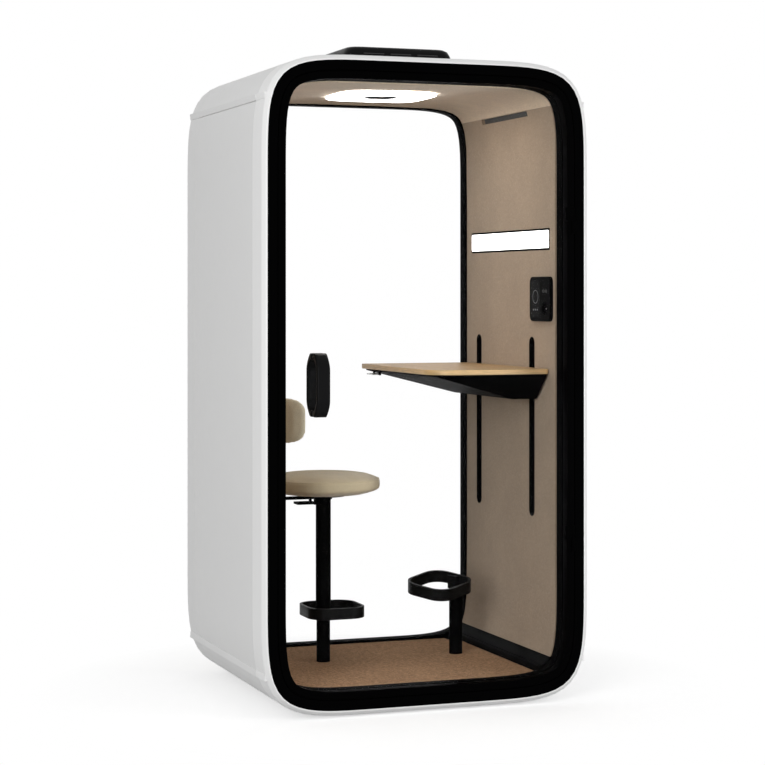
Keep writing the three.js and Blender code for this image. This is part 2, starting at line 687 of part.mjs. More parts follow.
// Wall light, control panel and socket on the desk wall
function buildWallServices() {
  const lightX = [wallX - WALL_LIGHT_PROUD, coreX - 2 * CLEAR];
  const rim = loopShape(WALL_LIGHT_Y, WALL_LIGHT_Z, WALL_LIGHT_L, WALL_LIGHT_H, 8, WALL_LIGHT_RIM);
  piece('wall_light_frame', prismX(rim, ...lightX), black());
  const lit = roundRect(
    WALL_LIGHT_Y,
    WALL_LIGHT_Z,
    WALL_LIGHT_L - 2 * (WALL_LIGHT_RIM + CLEAR),
    WALL_LIGHT_H - 2 * (WALL_LIGHT_RIM + CLEAR),
    8 - WALL_LIGHT_RIM,
  );
  piece('wall_light_diffuser', prismX(lit, wallX, coreX - 2 * CLEAR), glow());

  const panelX = [wallX - CLEAR - PANEL_T, wallX - CLEAR];
  const housing = prismX(roundRect(PANEL_Y, PANEL_Z, PANEL_W, PANEL_H, PANEL_CORNER), ...panelX);
  const screenShape = (grow) =>
    roundRect(PANEL_Y + SCREEN_Y, PANEL_Z, SCREEN_W + 2 * grow, SCREEN_H + 2 * grow, 10 + grow);
  const screenPocket = prismX(screenShape(CLEAR), panelX[0] - 1, panelX[0] + SCREEN_T + CLEAR);
  const socketY = PANEL_Y + SOCKET_Y;
  const socketZ = PANEL_Z + SOCKET_Z;
  const disc = (r, x0, x1) => {
    const cylinder = new THREE.CylinderGeometry(r, r, x1 - x0, 28);
    cylinder.rotateZ(Math.PI / 2);
    cylinder.translate((x0 + x1) / 2, socketY, socketZ);
    return solid(cylinder);
  };
  const socketHole = disc(SOCKET_R + CLEAR, panelX[0] - 1, panelX[1] + 1);
  piece('control_housing', cut(housing, screenPocket, socketHole), black());
  piece('control_screen', prismX(screenShape(0), panelX[0], panelX[0] + SCREEN_T), finish(0x050505, 0.1));
  const cup = cut(disc(SOCKET_R, ...panelX), disc(SOCKET_R - SOCKET_WALL, panelX[0] - 1, panelX[1] - SOCKET_WALL));
  piece('power_socket', cup, finish(0x0d0d0d, 0.6));
}

// Outer block of a rail channel, grown by a clearance when it is used as a pocket
function railBox(y, grow) {
  return block(
    [coreX - 2 * grow, coreX + RAIL_DEPTH + grow],
    [y - RAIL_W / 2 - grow, y + RAIL_W / 2 + grow],
    [SLOT_LOW - RAIL_END - grow, SLOT_HIGH + RAIL_END + grow],
  );
}

// Desk: rails behind the lining, carriage, bracket, top and height lever
function buildDesk() {
  const names = ['front_rail', 'rear_rail'];
  RAIL_Y.forEach((y, i) => {
    const hollow = block(
      [coreX - 1, coreX + RAIL_DEPTH - RAIL_WALL],
      [y - RAIL_W / 2 + RAIL_WALL, y + RAIL_W / 2 - RAIL_WALL],
      [SLOT_LOW - RAIL_END + RAIL_WALL, SLOT_HIGH + RAIL_END - RAIL_WALL],
    );
    piece(names[i], cut(railBox(y, 0), hollow), blackSteel());
  });

  const carriageZ = [deskUnder - 15 - CARRIAGE_H, deskUnder - 15];
  const plateX = [wallX - CLEAR - CARRIAGE_T, wallX - CLEAR];
  const shoeX = [coreX + RAIL_WALL, coreX + RAIL_DEPTH - RAIL_WALL - CLEAR];
  const shoeW = RAIL_W / 2 - RAIL_WALL - CLEAR;
  const span = [Math.min(...RAIL_Y) - CARRIAGE_OVER, Math.max(...RAIL_Y) + CARRIAGE_OVER];
  const arms = RAIL_Y.flatMap((y) => [
    block([plateX[0], shoeX[0] + 1], [y - CARRIAGE_ARM / 2, y + CARRIAGE_ARM / 2], carriageZ),
    block(shoeX, [y - shoeW, y + shoeW], carriageZ),
  ]);
  piece('desk_carriage', join(block(plateX, span, carriageZ), ...arms), blackSteel());

  const top = deskUnder - CLEAR;
  const low = deskUnder - BRACKET_H;
  const bracketX = [deskFreeX + BRACKET_INSET + 8, plateX[0] - CLEAR];
  const bracketY = [DESK_Y - DESK_L / 2 + BRACKET_INSET, DESK_Y + DESK_L / 2 - BRACKET_INSET];
  const corners = [];
  for (const y of bracketY) {
    const inward = y < DESK_Y ? BRACKET_SPLAY : -BRACKET_SPLAY;
    for (const x of bracketX) {
      corners.push(new THREE.Vector3(x, y, top), new THREE.Vector3(x, y, top - BRACKET_LIP));
    }
    corners.push(new THREE.Vector3(bracketX[1], y + inward, low));
    corners.push(new THREE.Vector3(bracketX[1] - BRACKET_FOOT, y + inward, low));
  }
  const pivotX = bracketX[0] + 10;
  const pivotZ = deskUnder - DESK_LEVER_DROP;
  const half = DESK_LEVER_W / 2;
  const ears = [-1, 1].map((side) => {
    const a = DESK_LEVER_Y + side * (half + CLEAR);
    const b = a + side * EAR_T;
    return block([pivotX - 4, pivotX + 4], [Math.min(a, b), Math.max(a, b)], [pivotZ - 4, top - 2]);
  });
  const pin = crossBar(pivotX, pivotZ, LEVER_PIN_R, DESK_LEVER_Y - half - 1, DESK_LEVER_Y + half + 1);
  piece('desk_bracket', join(solid(new ConvexGeometry(corners)), ...ears, pin), black());

  const lever = join(
    block(
      [pivotX - DESK_LEVER_L, pivotX],
      [DESK_LEVER_Y - half, DESK_LEVER_Y + half],
      [pivotZ - DESK_LEVER_T / 2, pivotZ + DESK_LEVER_T / 2],
    ),
    crossBar(pivotX, pivotZ, LEVER_PIN_R + 1.6, DESK_LEVER_Y - half, DESK_LEVER_Y + half),
  );
  const bore = crossBar(pivotX, pivotZ, LEVER_PIN_R + CLEAR, DESK_LEVER_Y - half - 1, DESK_LEVER_Y + half + 1);
  piece('desk_lever', cut(lever, bore), steel());

  const corner = [DESK_CORNER, DESK_WALL_CORNER, DESK_WALL_CORNER, DESK_FAR_CORNER];
  const topShape = roundRect((deskFreeX + deskWallX) / 2, DESK_Y, deskWallX - deskFreeX, DESK_L, corner);
  piece('desk_top', prismZ(topShape, deskUnder, DESK_Z), finish(0xc49a63, 0.55));
}

// Stool: fixed post and gas cylinder, lifting sleeve with foot ring, swivelling seat and backrest
function buildStool() {
  const post = cut(
    bar(SEAT_X, SEAT_Y, POST_R, SOCKET_DEPTH + CLEAR, POST_TOP),
    bar(SEAT_X, SEAT_Y, POST_BORE, SOCKET_DEPTH + 10, POST_TOP + 1),
  );
  piece('seat_post', post, blackSteel());
  const cylinder = cut(
    bar(SEAT_X, SEAT_Y, POST_BORE - CLEAR, SOCKET_DEPTH + 10 + CLEAR, CYLINDER_TOP),
    bar(SEAT_X, SEAT_Y, ROD_R + CLEAR, CYLINDER_FLOOR, CYLINDER_TOP + 1, 16),
  );
  piece('gas_cylinder', cylinder, blackSteel());

  const sleeveIn = POST_R + CLEAR;
  const sleeveOut = sleeveIn + SLEEVE_WALL;
  const sleeve = turned(SEAT_X, SEAT_Y, [
    [0, sleeveTop - SLEEVE_CAP],
    [sleeveIn, sleeveTop - SLEEVE_CAP],
    [sleeveIn, SLEEVE_BOTTOM],
    [sleeveOut, SLEEVE_BOTTOM],
    [sleeveOut, sleeveTop],
    [0, sleeveTop],
  ]);
  piece('seat_sleeve', sleeve, blackSteel());
  const rod = bar(SEAT_X, SEAT_Y, ROD_R, ROD_BOTTOM, sleeveTop - SLEEVE_CAP - CLEAR, 16);
  piece('gas_rod', rod, steel());

  const ringZ = [SLEEVE_BOTTOM, SLEEVE_BOTTOM + RING_BAND];
  const webZ = [SLEEVE_BOTTOM + 10, SLEEVE_BOTTOM + 22];
  const collarR = sleeveOut + CLEAR + RING_COLLAR;
  const loop = prismZ(loopShape(SEAT_X + RING_OFFSET, SEAT_Y, RING_W, RING_L, RING_CORNER, RING_T), ...ringZ);
  const webX = [SEAT_X + RING_OFFSET - RING_W / 2 + RING_T / 2, SEAT_X - sleeveOut];
  const web = block(webX, [SEAT_Y - RING_WEB / 2, SEAT_Y + RING_WEB / 2], webZ);
  const collar = bar(SEAT_X, SEAT_Y, collarR, webZ[0] - 4, webZ[1] + 4);
  const hole = bar(SEAT_X, SEAT_Y, sleeveOut + CLEAR, 0, FAR);
  piece('foot_ring', cut(join(loop, web, collar), hole), black());

  const leverX = SEAT_X - HUB_R - 8;
  const leverZ = plateLow - SEAT_LEVER_DROP;
  const half = SEAT_LEVER_W / 2;
  const ears = [-1, 1].map((side) => {
    const a = SEAT_Y + side * (half + CLEAR);
    const b = a + side * EAR_T;
    return block([leverX - 5, leverX + 5], [Math.min(a, b), Math.max(a, b)], [leverZ - 5, plateLow + 1]);
  });
  const plateBody = join(
    bar(SEAT_X, SEAT_Y, PLATE_R, plateLow, plateLow + PLATE_T),
    bar(SEAT_X, SEAT_Y, HUB_R, plateLow - HUB_H, plateLow + 1),
    crossBar(leverX, leverZ, LEVER_PIN_R, SEAT_Y - half - 1, SEAT_Y + half + 1),
    ...ears,
  );
  piece('seat_plate', plateBody, blackSteel());
  const lever = join(
    block(
      [leverX - SEAT_LEVER_L, leverX],
      [SEAT_Y - half, SEAT_Y + half],
      [leverZ - SEAT_LEVER_T / 2, leverZ + SEAT_LEVER_T / 2],
    ),
    crossBar(leverX, leverZ, LEVER_PIN_R + 2.5, SEAT_Y - half, SEAT_Y + half),
  );
  const leverBore = crossBar(leverX, leverZ, LEVER_PIN_R + CLEAR, SEAT_Y - half - 1, SEAT_Y + half + 1);
  piece('seat_lever', cut(lever, leverBore), black());

  piece('seat_cushion', turned(SEAT_X, SEAT_Y, cushionProfile(), 36), fabric());

  const armX = SEAT_X - BACK_R - BACK_T / 2 - CLEAR;
  const across = [SEAT_Y - ARM_W / 2, SEAT_Y + ARM_W / 2];
  const armTop = plateLow - CLEAR;
  const arm = join(
    block([armX - ARM_T, SEAT_X - HUB_R - 1], across, [armTop - ARM_T, armTop]),
    block([armX - ARM_T, armX], across, [armTop - ARM_T, (BACK_LOW + BACK_HIGH) / 2 + ARM_W / 2]),
  );
  piece('backrest_arm', arm, blackSteel());

  const backMiddle = (BACK_LOW + BACK_HIGH) / 2;
  const backPad = pad((a, up, out) => {
    const angle = Math.PI - a * BACK_HALF_ANGLE;
    const r = BACK_R - (out * BACK_T) / 2;
    const z = backMiddle + (up * (BACK_HIGH - BACK_LOW)) / 2;
    return [SEAT_X + r * Math.cos(angle), SEAT_Y + r * Math.sin(angle), z];
  });
  piece('backrest_pad', backPad, fabric());
}

// Half section of the round seat cushion: drawn-in side, piped edge and crowned top
function cushionProfile() {
  const low = cushionLow;
  const edge = low + SEAT_SIDE;
  const points = [
    [0, low],
    [SEAT_R - 22, low],
    [SEAT_R - 8, low + 4],
    [SEAT_R - 2, low + 12],
    [SEAT_R - 3.5, low + SEAT_SIDE * 0.55],
    [SEAT_R - 2.5, edge - 6],
    [SEAT_R, edge - 3],
    [SEAT_R, edge],
    [SEAT_R - 4, edge + 2],
  ];
  const steps = 6;
  for (let i = 1; i <= steps; i += 1) {
    const reach = 1 - i / steps;
    points.push([(SEAT_R - 4) * reach, edge + 2 + (SEAT_CROWN - 2) * (1 - reach ** 2.6)]);
  }
  return points;
}

// Footrest: floor post and a tilted loop on a clamping block
function buildFootrest() {
  const post = bar(FOOTREST_X, FOOTREST_Y, POST_R, SOCKET_DEPTH + CLEAR, FOOTREST_POST_TOP);
  piece('footrest_post', post, blackSteel());
  const loop = new THREE.ExtrudeGeometry(
    loopShape(
      (FOOTREST_T - FOOTREST_W) / 2,
      0,
      FOOTREST_W,
      FOOTREST_L,
      FOOTREST_CORNER,
      FOOTREST_T,
    ),
    { depth: FOOTREST_BAND, bevelEnabled: false, curveSegments: 5 },
  );
  loop.translate(0, 0, -FOOTREST_BAND);
  loop.rotateZ(FOOTREST_YAW + FOOTREST_TILT_TURN);
  loop.rotateX(FOOTREST_TILT);
  loop.rotateZ(-FOOTREST_TILT_TURN);
  loop.translate(FOOTREST_X, FOOTREST_Y, FOOTREST_TOP);
  const blockH = FOOTREST_TOP - BLOCK_T - FOOTREST_POST_TOP - CLEAR;
  const clampBox = new THREE.BoxGeometry(POST_R + FOOTREST_T / 2, 2 * (POST_R - BLOCK_T), blockH);
  clampBox.translate((FOOTREST_T / 2 - POST_R) / 2, 0, FOOTREST_POST_TOP + CLEAR + blockH / 2);
  clampBox.rotateZ(FOOTREST_YAW);
  clampBox.translate(FOOTREST_X, FOOTREST_Y, 0);
  const clamp = solid(clampBox);
  piece('footrest_ring', join(solid(loop), clamp), black());
}

buildShell();
buildFrames();
buildDoor();
buildCabin();
buildAir();
buildWallServices();
buildDesk();
buildStool();
buildFootrest();

// Stand the shell on its feet and centre the outer box over the origin
const handleReach = HANDLE_OUT + CLEAR - GLASS_SET;
pod.position.set(0, handleReach / 2, FOOT_SHOW);

export default pod;
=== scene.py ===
"""Acoustic office pod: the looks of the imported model. Metres, +Z up, in the model's own frame."""
import math

import bmesh
import bpy
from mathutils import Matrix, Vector, noise
from mathutils.bvhtree import BVHTree


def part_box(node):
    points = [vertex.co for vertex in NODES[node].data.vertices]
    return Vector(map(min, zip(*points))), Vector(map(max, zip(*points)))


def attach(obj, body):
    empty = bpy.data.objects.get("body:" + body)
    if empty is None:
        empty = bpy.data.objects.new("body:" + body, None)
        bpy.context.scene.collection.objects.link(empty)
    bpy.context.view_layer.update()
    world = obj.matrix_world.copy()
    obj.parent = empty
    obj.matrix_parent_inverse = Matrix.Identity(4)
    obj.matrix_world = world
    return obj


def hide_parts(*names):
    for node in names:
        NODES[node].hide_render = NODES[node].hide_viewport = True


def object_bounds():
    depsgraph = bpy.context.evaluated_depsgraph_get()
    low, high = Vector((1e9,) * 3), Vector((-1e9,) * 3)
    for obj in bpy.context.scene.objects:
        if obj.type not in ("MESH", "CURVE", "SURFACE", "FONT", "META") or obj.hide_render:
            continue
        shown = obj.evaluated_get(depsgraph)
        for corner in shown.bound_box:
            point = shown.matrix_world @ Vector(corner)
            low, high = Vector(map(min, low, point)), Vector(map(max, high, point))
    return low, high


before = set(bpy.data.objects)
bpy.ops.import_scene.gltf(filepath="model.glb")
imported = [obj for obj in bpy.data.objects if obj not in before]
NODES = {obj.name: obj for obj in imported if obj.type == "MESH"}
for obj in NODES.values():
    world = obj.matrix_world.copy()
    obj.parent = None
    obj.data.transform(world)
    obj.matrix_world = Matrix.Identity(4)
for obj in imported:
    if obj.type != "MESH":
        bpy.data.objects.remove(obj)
CAD_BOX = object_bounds()
MM = 0.001

# Shell outline: a rectangle with superellipse corners, read from the front bezel's box
SHELL_LOW, SHELL_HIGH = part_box("front_bezel")
HALF_W = SHELL_HIGH.x
HALF_H = (SHELL_HIGH.z - SHELL_LOW.z) / 2
MID_Z = (SHELL_HIGH.z + SHELL_LOW.z) / 2
CORNER_R = 464 * MM
CORNER_POWER = 5
CORNER_STEPS = 26
FRONT = SHELL_LOW.y
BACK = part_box("rear_bezel")[1].y
BODY_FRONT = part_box("roof_shell")[0].y
BODY_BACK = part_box("roof_shell")[1].y
BEZEL_BACK = SHELL_HIGH.y
REAR_BEZEL_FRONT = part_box("rear_bezel")[0].y

# Shell: bezels, skins, and seams with raised strips beside them
BEZEL_T = 18 * MM
BEZEL_CHAMFER = 14 * MM
BEZEL_RADII = (3 * MM, 3 * MM, 0.8 * MM, 0, 1.2 * MM)
SKIN_T = 6 * MM
SKIN_RADII = (1 * MM, 0, 0, 1 * MM)
SEAM_TOP = (2057 * MM, 2077 * MM)
SEAM_BOTTOM = (138 * MM, 158 * MM)
SEAM_GAP = 5 * MM
GROOVE_DEEP = 1.5 * MM
LIP_PROUD = 10 * MM
BEZEL_LIP_PROUD = 8 * MM
LIP_LEAST = 0.15
LIP_EDGE_R = 1.5 * MM

# Frames, door and linings: insets from the outline, and depths behind the front or rear face
FIT = 0.3 * MM
FRAME_IN = 52 * MM
DOOR_OUT = 55 * MM
DOOR_IN = 81 * MM
DOOR_T = 40 * MM
STOP_Y = FRONT + 45.1 * MM
REVEAL = 92 * MM
JAMB_DEEP = 117 * MM
REAR_RIM_IN = 90 * MM
REAR_RIM = (76 * MM, 20 * MM)
SEAL_W = 12 * MM
PANE_ARRIS = 0.6 * MM
LINING_OUT = 72 * MM
WALL_T = 84 * MM
# Half width, depth and rise of the black strip of painted shade where wall meets ceiling
SHADE_STRIP_HALF = 0.9 * MM
SHADE_STRIP_DEEP = 1 * MM
SHADE_STRIP_PROUD = 0.4 * MM

# Rail slots and carpet
SLOT_W = 46 * MM
SLOT_LOW = 615 * MM
SLOT_HIGH = 1258 * MM
TRIM_OUT = 0.5 * MM
TRIM_IN = 2.2 * MM
TRIM_PROUD = 0.8 * MM
CARPET_STEP = 4 * MM
CARPET_NAP = 0.45 * MM
CARPET_RIM = 1.5 * MM

# Wall light, control panel, ceiling light and roof hood
WALL_LIGHT_PROUD = 1.5 * MM
WALL_LIGHT_RIM = 7.5 * MM
WALL_LIGHT_CORNER = 13 * MM
DIFFUSER_CORNER = 8 * MM
DIAL_R = 23 * MM
DIAL_UP = 8 * MM
DOT_R = 3.2 * MM
DOT_PITCH = 16 * MM
DOT_DOWN = 38 * MM
PIN_R = 2.6 * MM
PIN_FROM_MIDDLE = 9.5 * MM
PORT_PITCH = 22 * MM
PORT_UP = 62 * MM
PORT_SIZE = (12 * MM, 5 * MM)
PORT_RIM = 2 * MM
MOON_R = 58 * MM
MOON_GAP = 5 * MM
LIGHT_POWER = 4.2
HOOD_CORNER = 46 * MM
HOOD_SHOULDER = 0.62
HOOD_LEAN = 10 * MM
LOUVRE_PITCH = 100 * MM
LOUVRE_HALF = 38 * MM
LOUVRE_R = 2.2 * MM

# Upholstery: share of radius and height up the cushion's side, and how the fabric is filled
CUSHION_PROFILE = (
    (0.0, 0.0), (0.3, 0.0), (0.6, 0.0), (0.76, 0.06), (0.9, 0.14), (0.965, 0.2), (0.992, 0.27),
    (1.0, 0.36), (1.0, 0.52), (1.0, 0.66), (0.985, 0.72), (0.94, 0.785), (0.84, 0.86), (0.68, 0.93),
    (0.45, 0.98), (0.2, 0.998), (0.0, 1.0),
)
CUSHION_SIDES = 72
PRESSURE = 4
CLOTH_FRAMES = 20
PAD_FULLNESS = 6 * MM
PIPING_R = 2.6 * MM
PIPING_LEVEL = 0.7
PIPING_STEPS = 120

# Floor: distances from the middle over which the shadow fades to white
SHADOW_REACH = (0.72, 1.25)

# Camera, from a fit to the door and shell edges in a 765 pixel frame
CAMERA_AT = (-2.5616, -7.0962, 1.4139)
CAMERA_TURN = math.radians(-19.848)
CAMERA_LENS = 98.93
CAMERA_SHIFT = -0.1165


def texture(tree, kind, **values):
    """A shader node with its constant inputs set by name, underscores standing for spaces."""
    made = tree.nodes.new(kind)
    for key, value in values.items():
        made.inputs[key.replace("_", " ")].default_value = value
    return made


def principled(name, colour, roughness, **values):
    """A material with a Principled shader. Returns the material, its tree, shader and object coordinates."""
    material = bpy.data.materials.new(name)
    material.use_nodes = True
    tree = material.node_tree
    shader = tree.nodes["Principled BSDF"]
    shader.inputs["Base Color"].default_value = (*colour, 1)
    shader.inputs["Roughness"].default_value = roughness
    for key, value in values.items():
        shader.inputs[key.replace("_", " ")].default_value = value
    place = tree.nodes.new("ShaderNodeTexCoord").outputs["Object"]
    return material, tree, shader, place


def stretched(tree, place, scale):
    """Object coordinates scaled along each axis, for grain that runs one way."""
    mapping = texture(tree, "ShaderNodeMapping", Scale=scale)
    tree.links.new(place, mapping.inputs["Vector"])
    return mapping.outputs["Vector"]


def noise_of(tree, place, scale, detail, roughness=0.6):
    """Noise over the object's coordinates."""
    made = texture(tree, "ShaderNodeTexNoise", Scale=scale, Detail=detail, Roughness=roughness)
    tree.links.new(place, made.inputs["Vector"])
    return made.outputs["Fac"]


def ramp(tree, factor, stops):
    """A colour ramp over a factor; stops are (position, colour)."""
    made = tree.nodes.new("ShaderNodeValToRGB")
    elements = made.color_ramp.elements
    while len(elements) < len(stops):
        elements.new(0.5)
    for element, (position, colour) in zip(elements, stops):
        element.position = position
        element.color = (*colour, 1)
    tree.links.new(factor, made.inputs["Fac"])
    return made.outputs["Color"]


def spread(tree, factor, low, high, start=0.3, end=0.7):
    """A factor mapped to a range, for roughness that varies over the surface."""
    made = texture(tree, "ShaderNodeMapRange", From_Min=start, From_Max=end, To_Min=low, To_Max=high)
    tree.links.new(factor, made.inputs["Value"])
    return made.outputs["Result"]


def mixed(tree, factor, first, second, kind="MIX"):
    """Two colours mixed by a factor, which is a socket or a number."""
    made = tree.nodes.new("ShaderNodeMix")
    made.data_type = "RGBA"
    made.blend_type = kind
    if isinstance(factor, (int, float)):
        made.inputs[0].default_value = factor
    else:
        tree.links.new(factor, made.inputs[0])
    tree.links.new(first, made.inputs[6])
    tree.links.new(second, made.inputs[7])
    return made.outputs[2]


def bumped(tree, shader, height, distance, strength=1.0):
    """A bump of the given depth in metres on the shader's normal, over any bump already there."""
    made = texture(tree, "ShaderNodeBump", Strength=strength, Distance=distance)
    tree.links.new(height, made.inputs["Height"])
    if shader.inputs["Normal"].is_linked:
        tree.links.new(shader.inputs["Normal"].links[0].from_socket, made.inputs["Normal"])
    tree.links.new(made.outputs["Normal"], shader.inputs["Normal"])


def painted(name, colour, roughness, grain, depth, variation=0.08, **values):
    """Coated metal or moulded plastic: fine texture, uneven gloss and a slight drift of tone."""
    material, tree, shader, place = principled(name, colour, roughness, **values)
    cloud = noise_of(tree, place, 9, 3)
    low = tuple(c * (1 - variation) for c in colour)
    high = tuple(min(1, c * (1 + variation / 2)) for c in colour)
    tree.links.new(ramp(tree, cloud, [(0.3, low), (0.7, high)]), shader.inputs["Base Color"])
    smear = noise_of(tree, place, 34, 5)
    tree.links.new(spread(tree, smear, roughness * 0.88, roughness * 1.14), shader.inputs["Roughness"])
    bumped(tree, shader, noise_of(tree, place, grain, 2), depth)
    return material


def felt(name, colour):
    """Pressed fibre panel: mottled tone, short crossing fibres and a soft nap."""
    material, tree, shader, place = principled(name, colour, 0.95, Sheen_Weight=0.25, Sheen_Roughness=0.6)
    shader.inputs["Specular IOR Level"].default_value = 0.2
    dark = tuple(c * 0.72 for c in colour)
    pale = tuple(min(1, c * 1.22) for c in colour)
    mottle = ramp(tree, noise_of(tree, place, 420, 5, 0.7), [(0.32, dark), (0.5, colour), (0.7, pale)])
    cloud = ramp(tree, noise_of(tree, place, 7, 4), [(0.3, (0.88, 0.88, 0.88)), (0.7, (1, 1, 1))])
    tuft = ramp(tree, noise_of(tree, place, 130, 3), [(0.35, (0.86, 0.86, 0.86)), (0.65, (1, 1, 1))])
    soft = mixed(tree, 1.0, cloud, tuft, "MULTIPLY")
    tree.links.new(mixed(tree, 1.0, mottle, soft, "MULTIPLY"), shader.inputs["Base Color"])
    along = noise_of(tree, stretched(tree, place, (1, 1, 0.16)), 1500, 3)
    across = noise_of(tree, stretched(tree, place, (1, 0.16, 1)), 1300, 3)
    bumped(tree, shader, along, 0.35 * MM, 0.6)
    bumped(tree, shader, across, 0.35 * MM, 0.6)
    return material


def carpet_pile(name, colour):
    """Short loop pile: cells for the loops, and two tones of yarn."""
    material, tree, shader, place = principled(name, colour, 1.0)
    shader.inputs["Specular IOR Level"].default_value = 0.03
    dark = tuple(c * 0.5 for c in colour)
    pale = tuple(min(1, c * 1.3) for c in colour)
    yarn = ramp(tree, noise_of(tree, place, 330, 6, 0.75), [(0.3, dark), (0.5, colour), (0.68, pale)])
    cloud = ramp(tree, noise_of(tree, place, 5, 3), [(0.3, (0.9, 0.9, 0.9)), (0.7, (1, 1, 1))])
    tuft = ramp(tree, noise_of(tree, place, 110, 4), [(0.35, (0.62, 0.62, 0.62)), (0.65, (1, 1, 1))])
    soft = mixed(tree, 1.0, cloud, tuft, "MULTIPLY")
    tree.links.new(mixed(tree, 1.0, yarn, soft, "MULTIPLY"), shader.inputs["Base Color"])
    loops = texture(tree, "ShaderNodeTexVoronoi", Scale=260, Randomness=0.8)
    tree.links.new(place, loops.inputs["Vector"])
    bumped(tree, shader, loops.outputs["Distance"], -1.6 * MM, 0.8)
    return material


def woven(name, colour):
    """Wool upholstery: two crossing yarns, flecked tone and a soft sheen."""
    material, tree, shader, place = principled(name, colour, 0.92, Sheen_Weight=0.35, Sheen_Roughness=0.5)
    shader.inputs["Specular IOR Level"].default_value = 0.2
    dark = tuple(c * 0.7 for c in colour)
    pale = tuple(min(1, c * 1.2) for c in colour)
    fleck = ramp(tree, noise_of(tree, place, 700, 5, 0.7), [(0.33, dark), (0.5, colour), (0.7, pale)])
    cloud = ramp(tree, noise_of(tree, place, 16, 3), [(0.3, (0.9, 0.9, 0.9)), (0.7, (1, 1, 1))])
    tree.links.new(mixed(tree, 1.0, fleck, cloud, "MULTIPLY"), shader.inputs["Base Color"])
    for axis in ("X", "Y", "Z"):
        yarn = texture(tree, "ShaderNodeTexWave", Scale=150, Distortion=1.2, Detail=2)
        yarn.bands_direction = axis
        tree.links.new(place, yarn.inputs["Vector"])
        bumped(tree, shader, yarn.outputs["Fac"], 0.3 * MM, 0.35)
    return material


def oak(name, pale, dark):
    """Oak veneer with grain along Y; the cut edges are paler than the faces."""
    material, tree, shader, place = principled(name, pale, 0.5, Coat_Weight=0.12, Coat_Roughness=0.35)
    long_grain = stretched(tree, place, (1, 0.07, 1))
    rings = texture(tree, "ShaderNodeTexWave", Scale=16, Distortion=7, Detail=4, Detail_Scale=1.6)
    rings.bands_direction = "X"
    tree.links.new(long_grain, rings.inputs["Vector"])
    pores = noise_of(tree, stretched(tree, place, (1, 0.03, 1)), 900, 3)
    figure = ramp(tree, rings.outputs["Fac"], [(0.15, dark), (0.75, pale)])
    streak = ramp(tree, pores, [(0.36, (0.72, 0.66, 0.6)), (0.5, (1, 1, 1))])
    face = mixed(tree, 0.6, figure, streak, "MULTIPLY")
    edge_pale = tuple(min(1, c * 1.25) for c in pale)
    plies = noise_of(tree, stretched(tree, place, (0.05, 0.05, 1)), 420, 2)
    edge = ramp(tree, plies, [(0.4, pale), (0.6, edge_pale)])
    facing = tree.nodes.new("ShaderNodeSeparateXYZ")
    tree.links.new(tree.nodes.new("ShaderNodeNewGeometry").outputs["Normal"], facing.inputs["Vector"])
    steep = texture(tree, "ShaderNodeMath")
    steep.operation = "ABSOLUTE"
    tree.links.new(facing.outputs["Z"], steep.inputs[0])
    flat = spread(tree, steep.outputs[0], 0, 1, 0.45, 0.8)
    tree.links.new(mixed(tree, flat, edge, face), shader.inputs["Base Color"])
    tree.links.new(spread(tree, pores, 0.56, 0.42), shader.inputs["Roughness"])
    bumped(tree, shader, pores, 0.08 * MM, 0.5)
    return material


def clear_glass(name):
    """Clear glass that lets light through to what stands behind it."""
    material, tree, shader, place = principled(name, (1, 1, 1), 0.0)
    shader.inputs["Transmission Weight"].default_value = 1.0
    shader.inputs["IOR"].default_value = 1.06
    tree.links.new(spread(tree, noise_of(tree, place, 14, 3), 0.0, 0.008), shader.inputs["Roughness"])
    through = texture(tree, "ShaderNodeBsdfTransparent", Color=(0.97, 0.98, 0.975, 1))
    rays = tree.nodes.new("ShaderNodeLightPath")
    either = texture(tree, "ShaderNodeMath")
    either.operation = "MAXIMUM"
    tree.links.new(rays.outputs["Is Shadow Ray"], either.inputs[0])
    tree.links.new(rays.outputs["Is Diffuse Ray"], either.inputs[1])
    both = tree.nodes.new("ShaderNodeMixShader")
    tree.links.new(either.outputs[0], both.inputs[0])
    tree.links.new(shader.outputs[0], both.inputs[1])
    tree.links.new(through.outputs[0], both.inputs[2])
    tree.links.new(both.outputs[0], tree.nodes["Material Output"].inputs["Surface"])
    return material


def glowing(name, strength):
    """Opal diffuser lit from behind, a little weaker in patches."""
    material, tree, shader, place = principled(name, (0.9, 0.9, 0.88), 0.45)
    shader.inputs["Emission Color"].default_value = (1, 0.985, 0.96, 1)
    patches = noise_of(tree, place, 6, 2)
    tree.links.new(spread(tree, patches, strength * 0.94, strength), shader.inputs["Emission Strength"])
    bumped(tree, shader, noise_of(tree, place, 1800, 2), 0.02 * MM)
    return material


WHITE = painted("white_paint", (0.79, 0.79, 0.785), 0.36, 1500, 0.01 * MM, 0.006)
# The front bezel's paint is the shell's white set lighter: painted light for the brighter light on the front
# edge.
BEZEL_PAINTED_LIGHT = painted("white_bezel_painted_light", (0.9, 0.9, 0.895), 0.34, 1500, 0.01 * MM, 0.006)
FOAM = painted("core_foam", (0.08, 0.08, 0.08), 0.95, 300, 0.6 * MM)
DECK = painted("deck_board", (0.36, 0.25, 0.14), 0.8, 500, 0.2 * MM, 0.2)
BLACK = painted("black_powder_coat", (0.001, 0.001, 0.0011), 0.55, 2200, 0.02 * MM, Specular_IOR_Level=0.008)
SATIN = painted("black_satin", (0.0055, 0.0055, 0.0057), 0.34, 2200, 0.01 * MM, Specular_IOR_Level=0.05)
FRAME = painted("black_frame_paint", (0.0008, 0.0008, 0.0009), 0.5, 2000, 0.02 * MM, Specular_IOR_Level=0.004)
PLASTIC = painted("black_plastic", (0.0015, 0.0015, 0.0017), 0.6, 1600, 0.03 * MM, Specular_IOR_Level=0.02)
LEAF = painted("black_door_paint", (0.0008, 0.0008, 0.0009), 0.46, 2000, 0.02 * MM, Specular_IOR_Level=0.004)
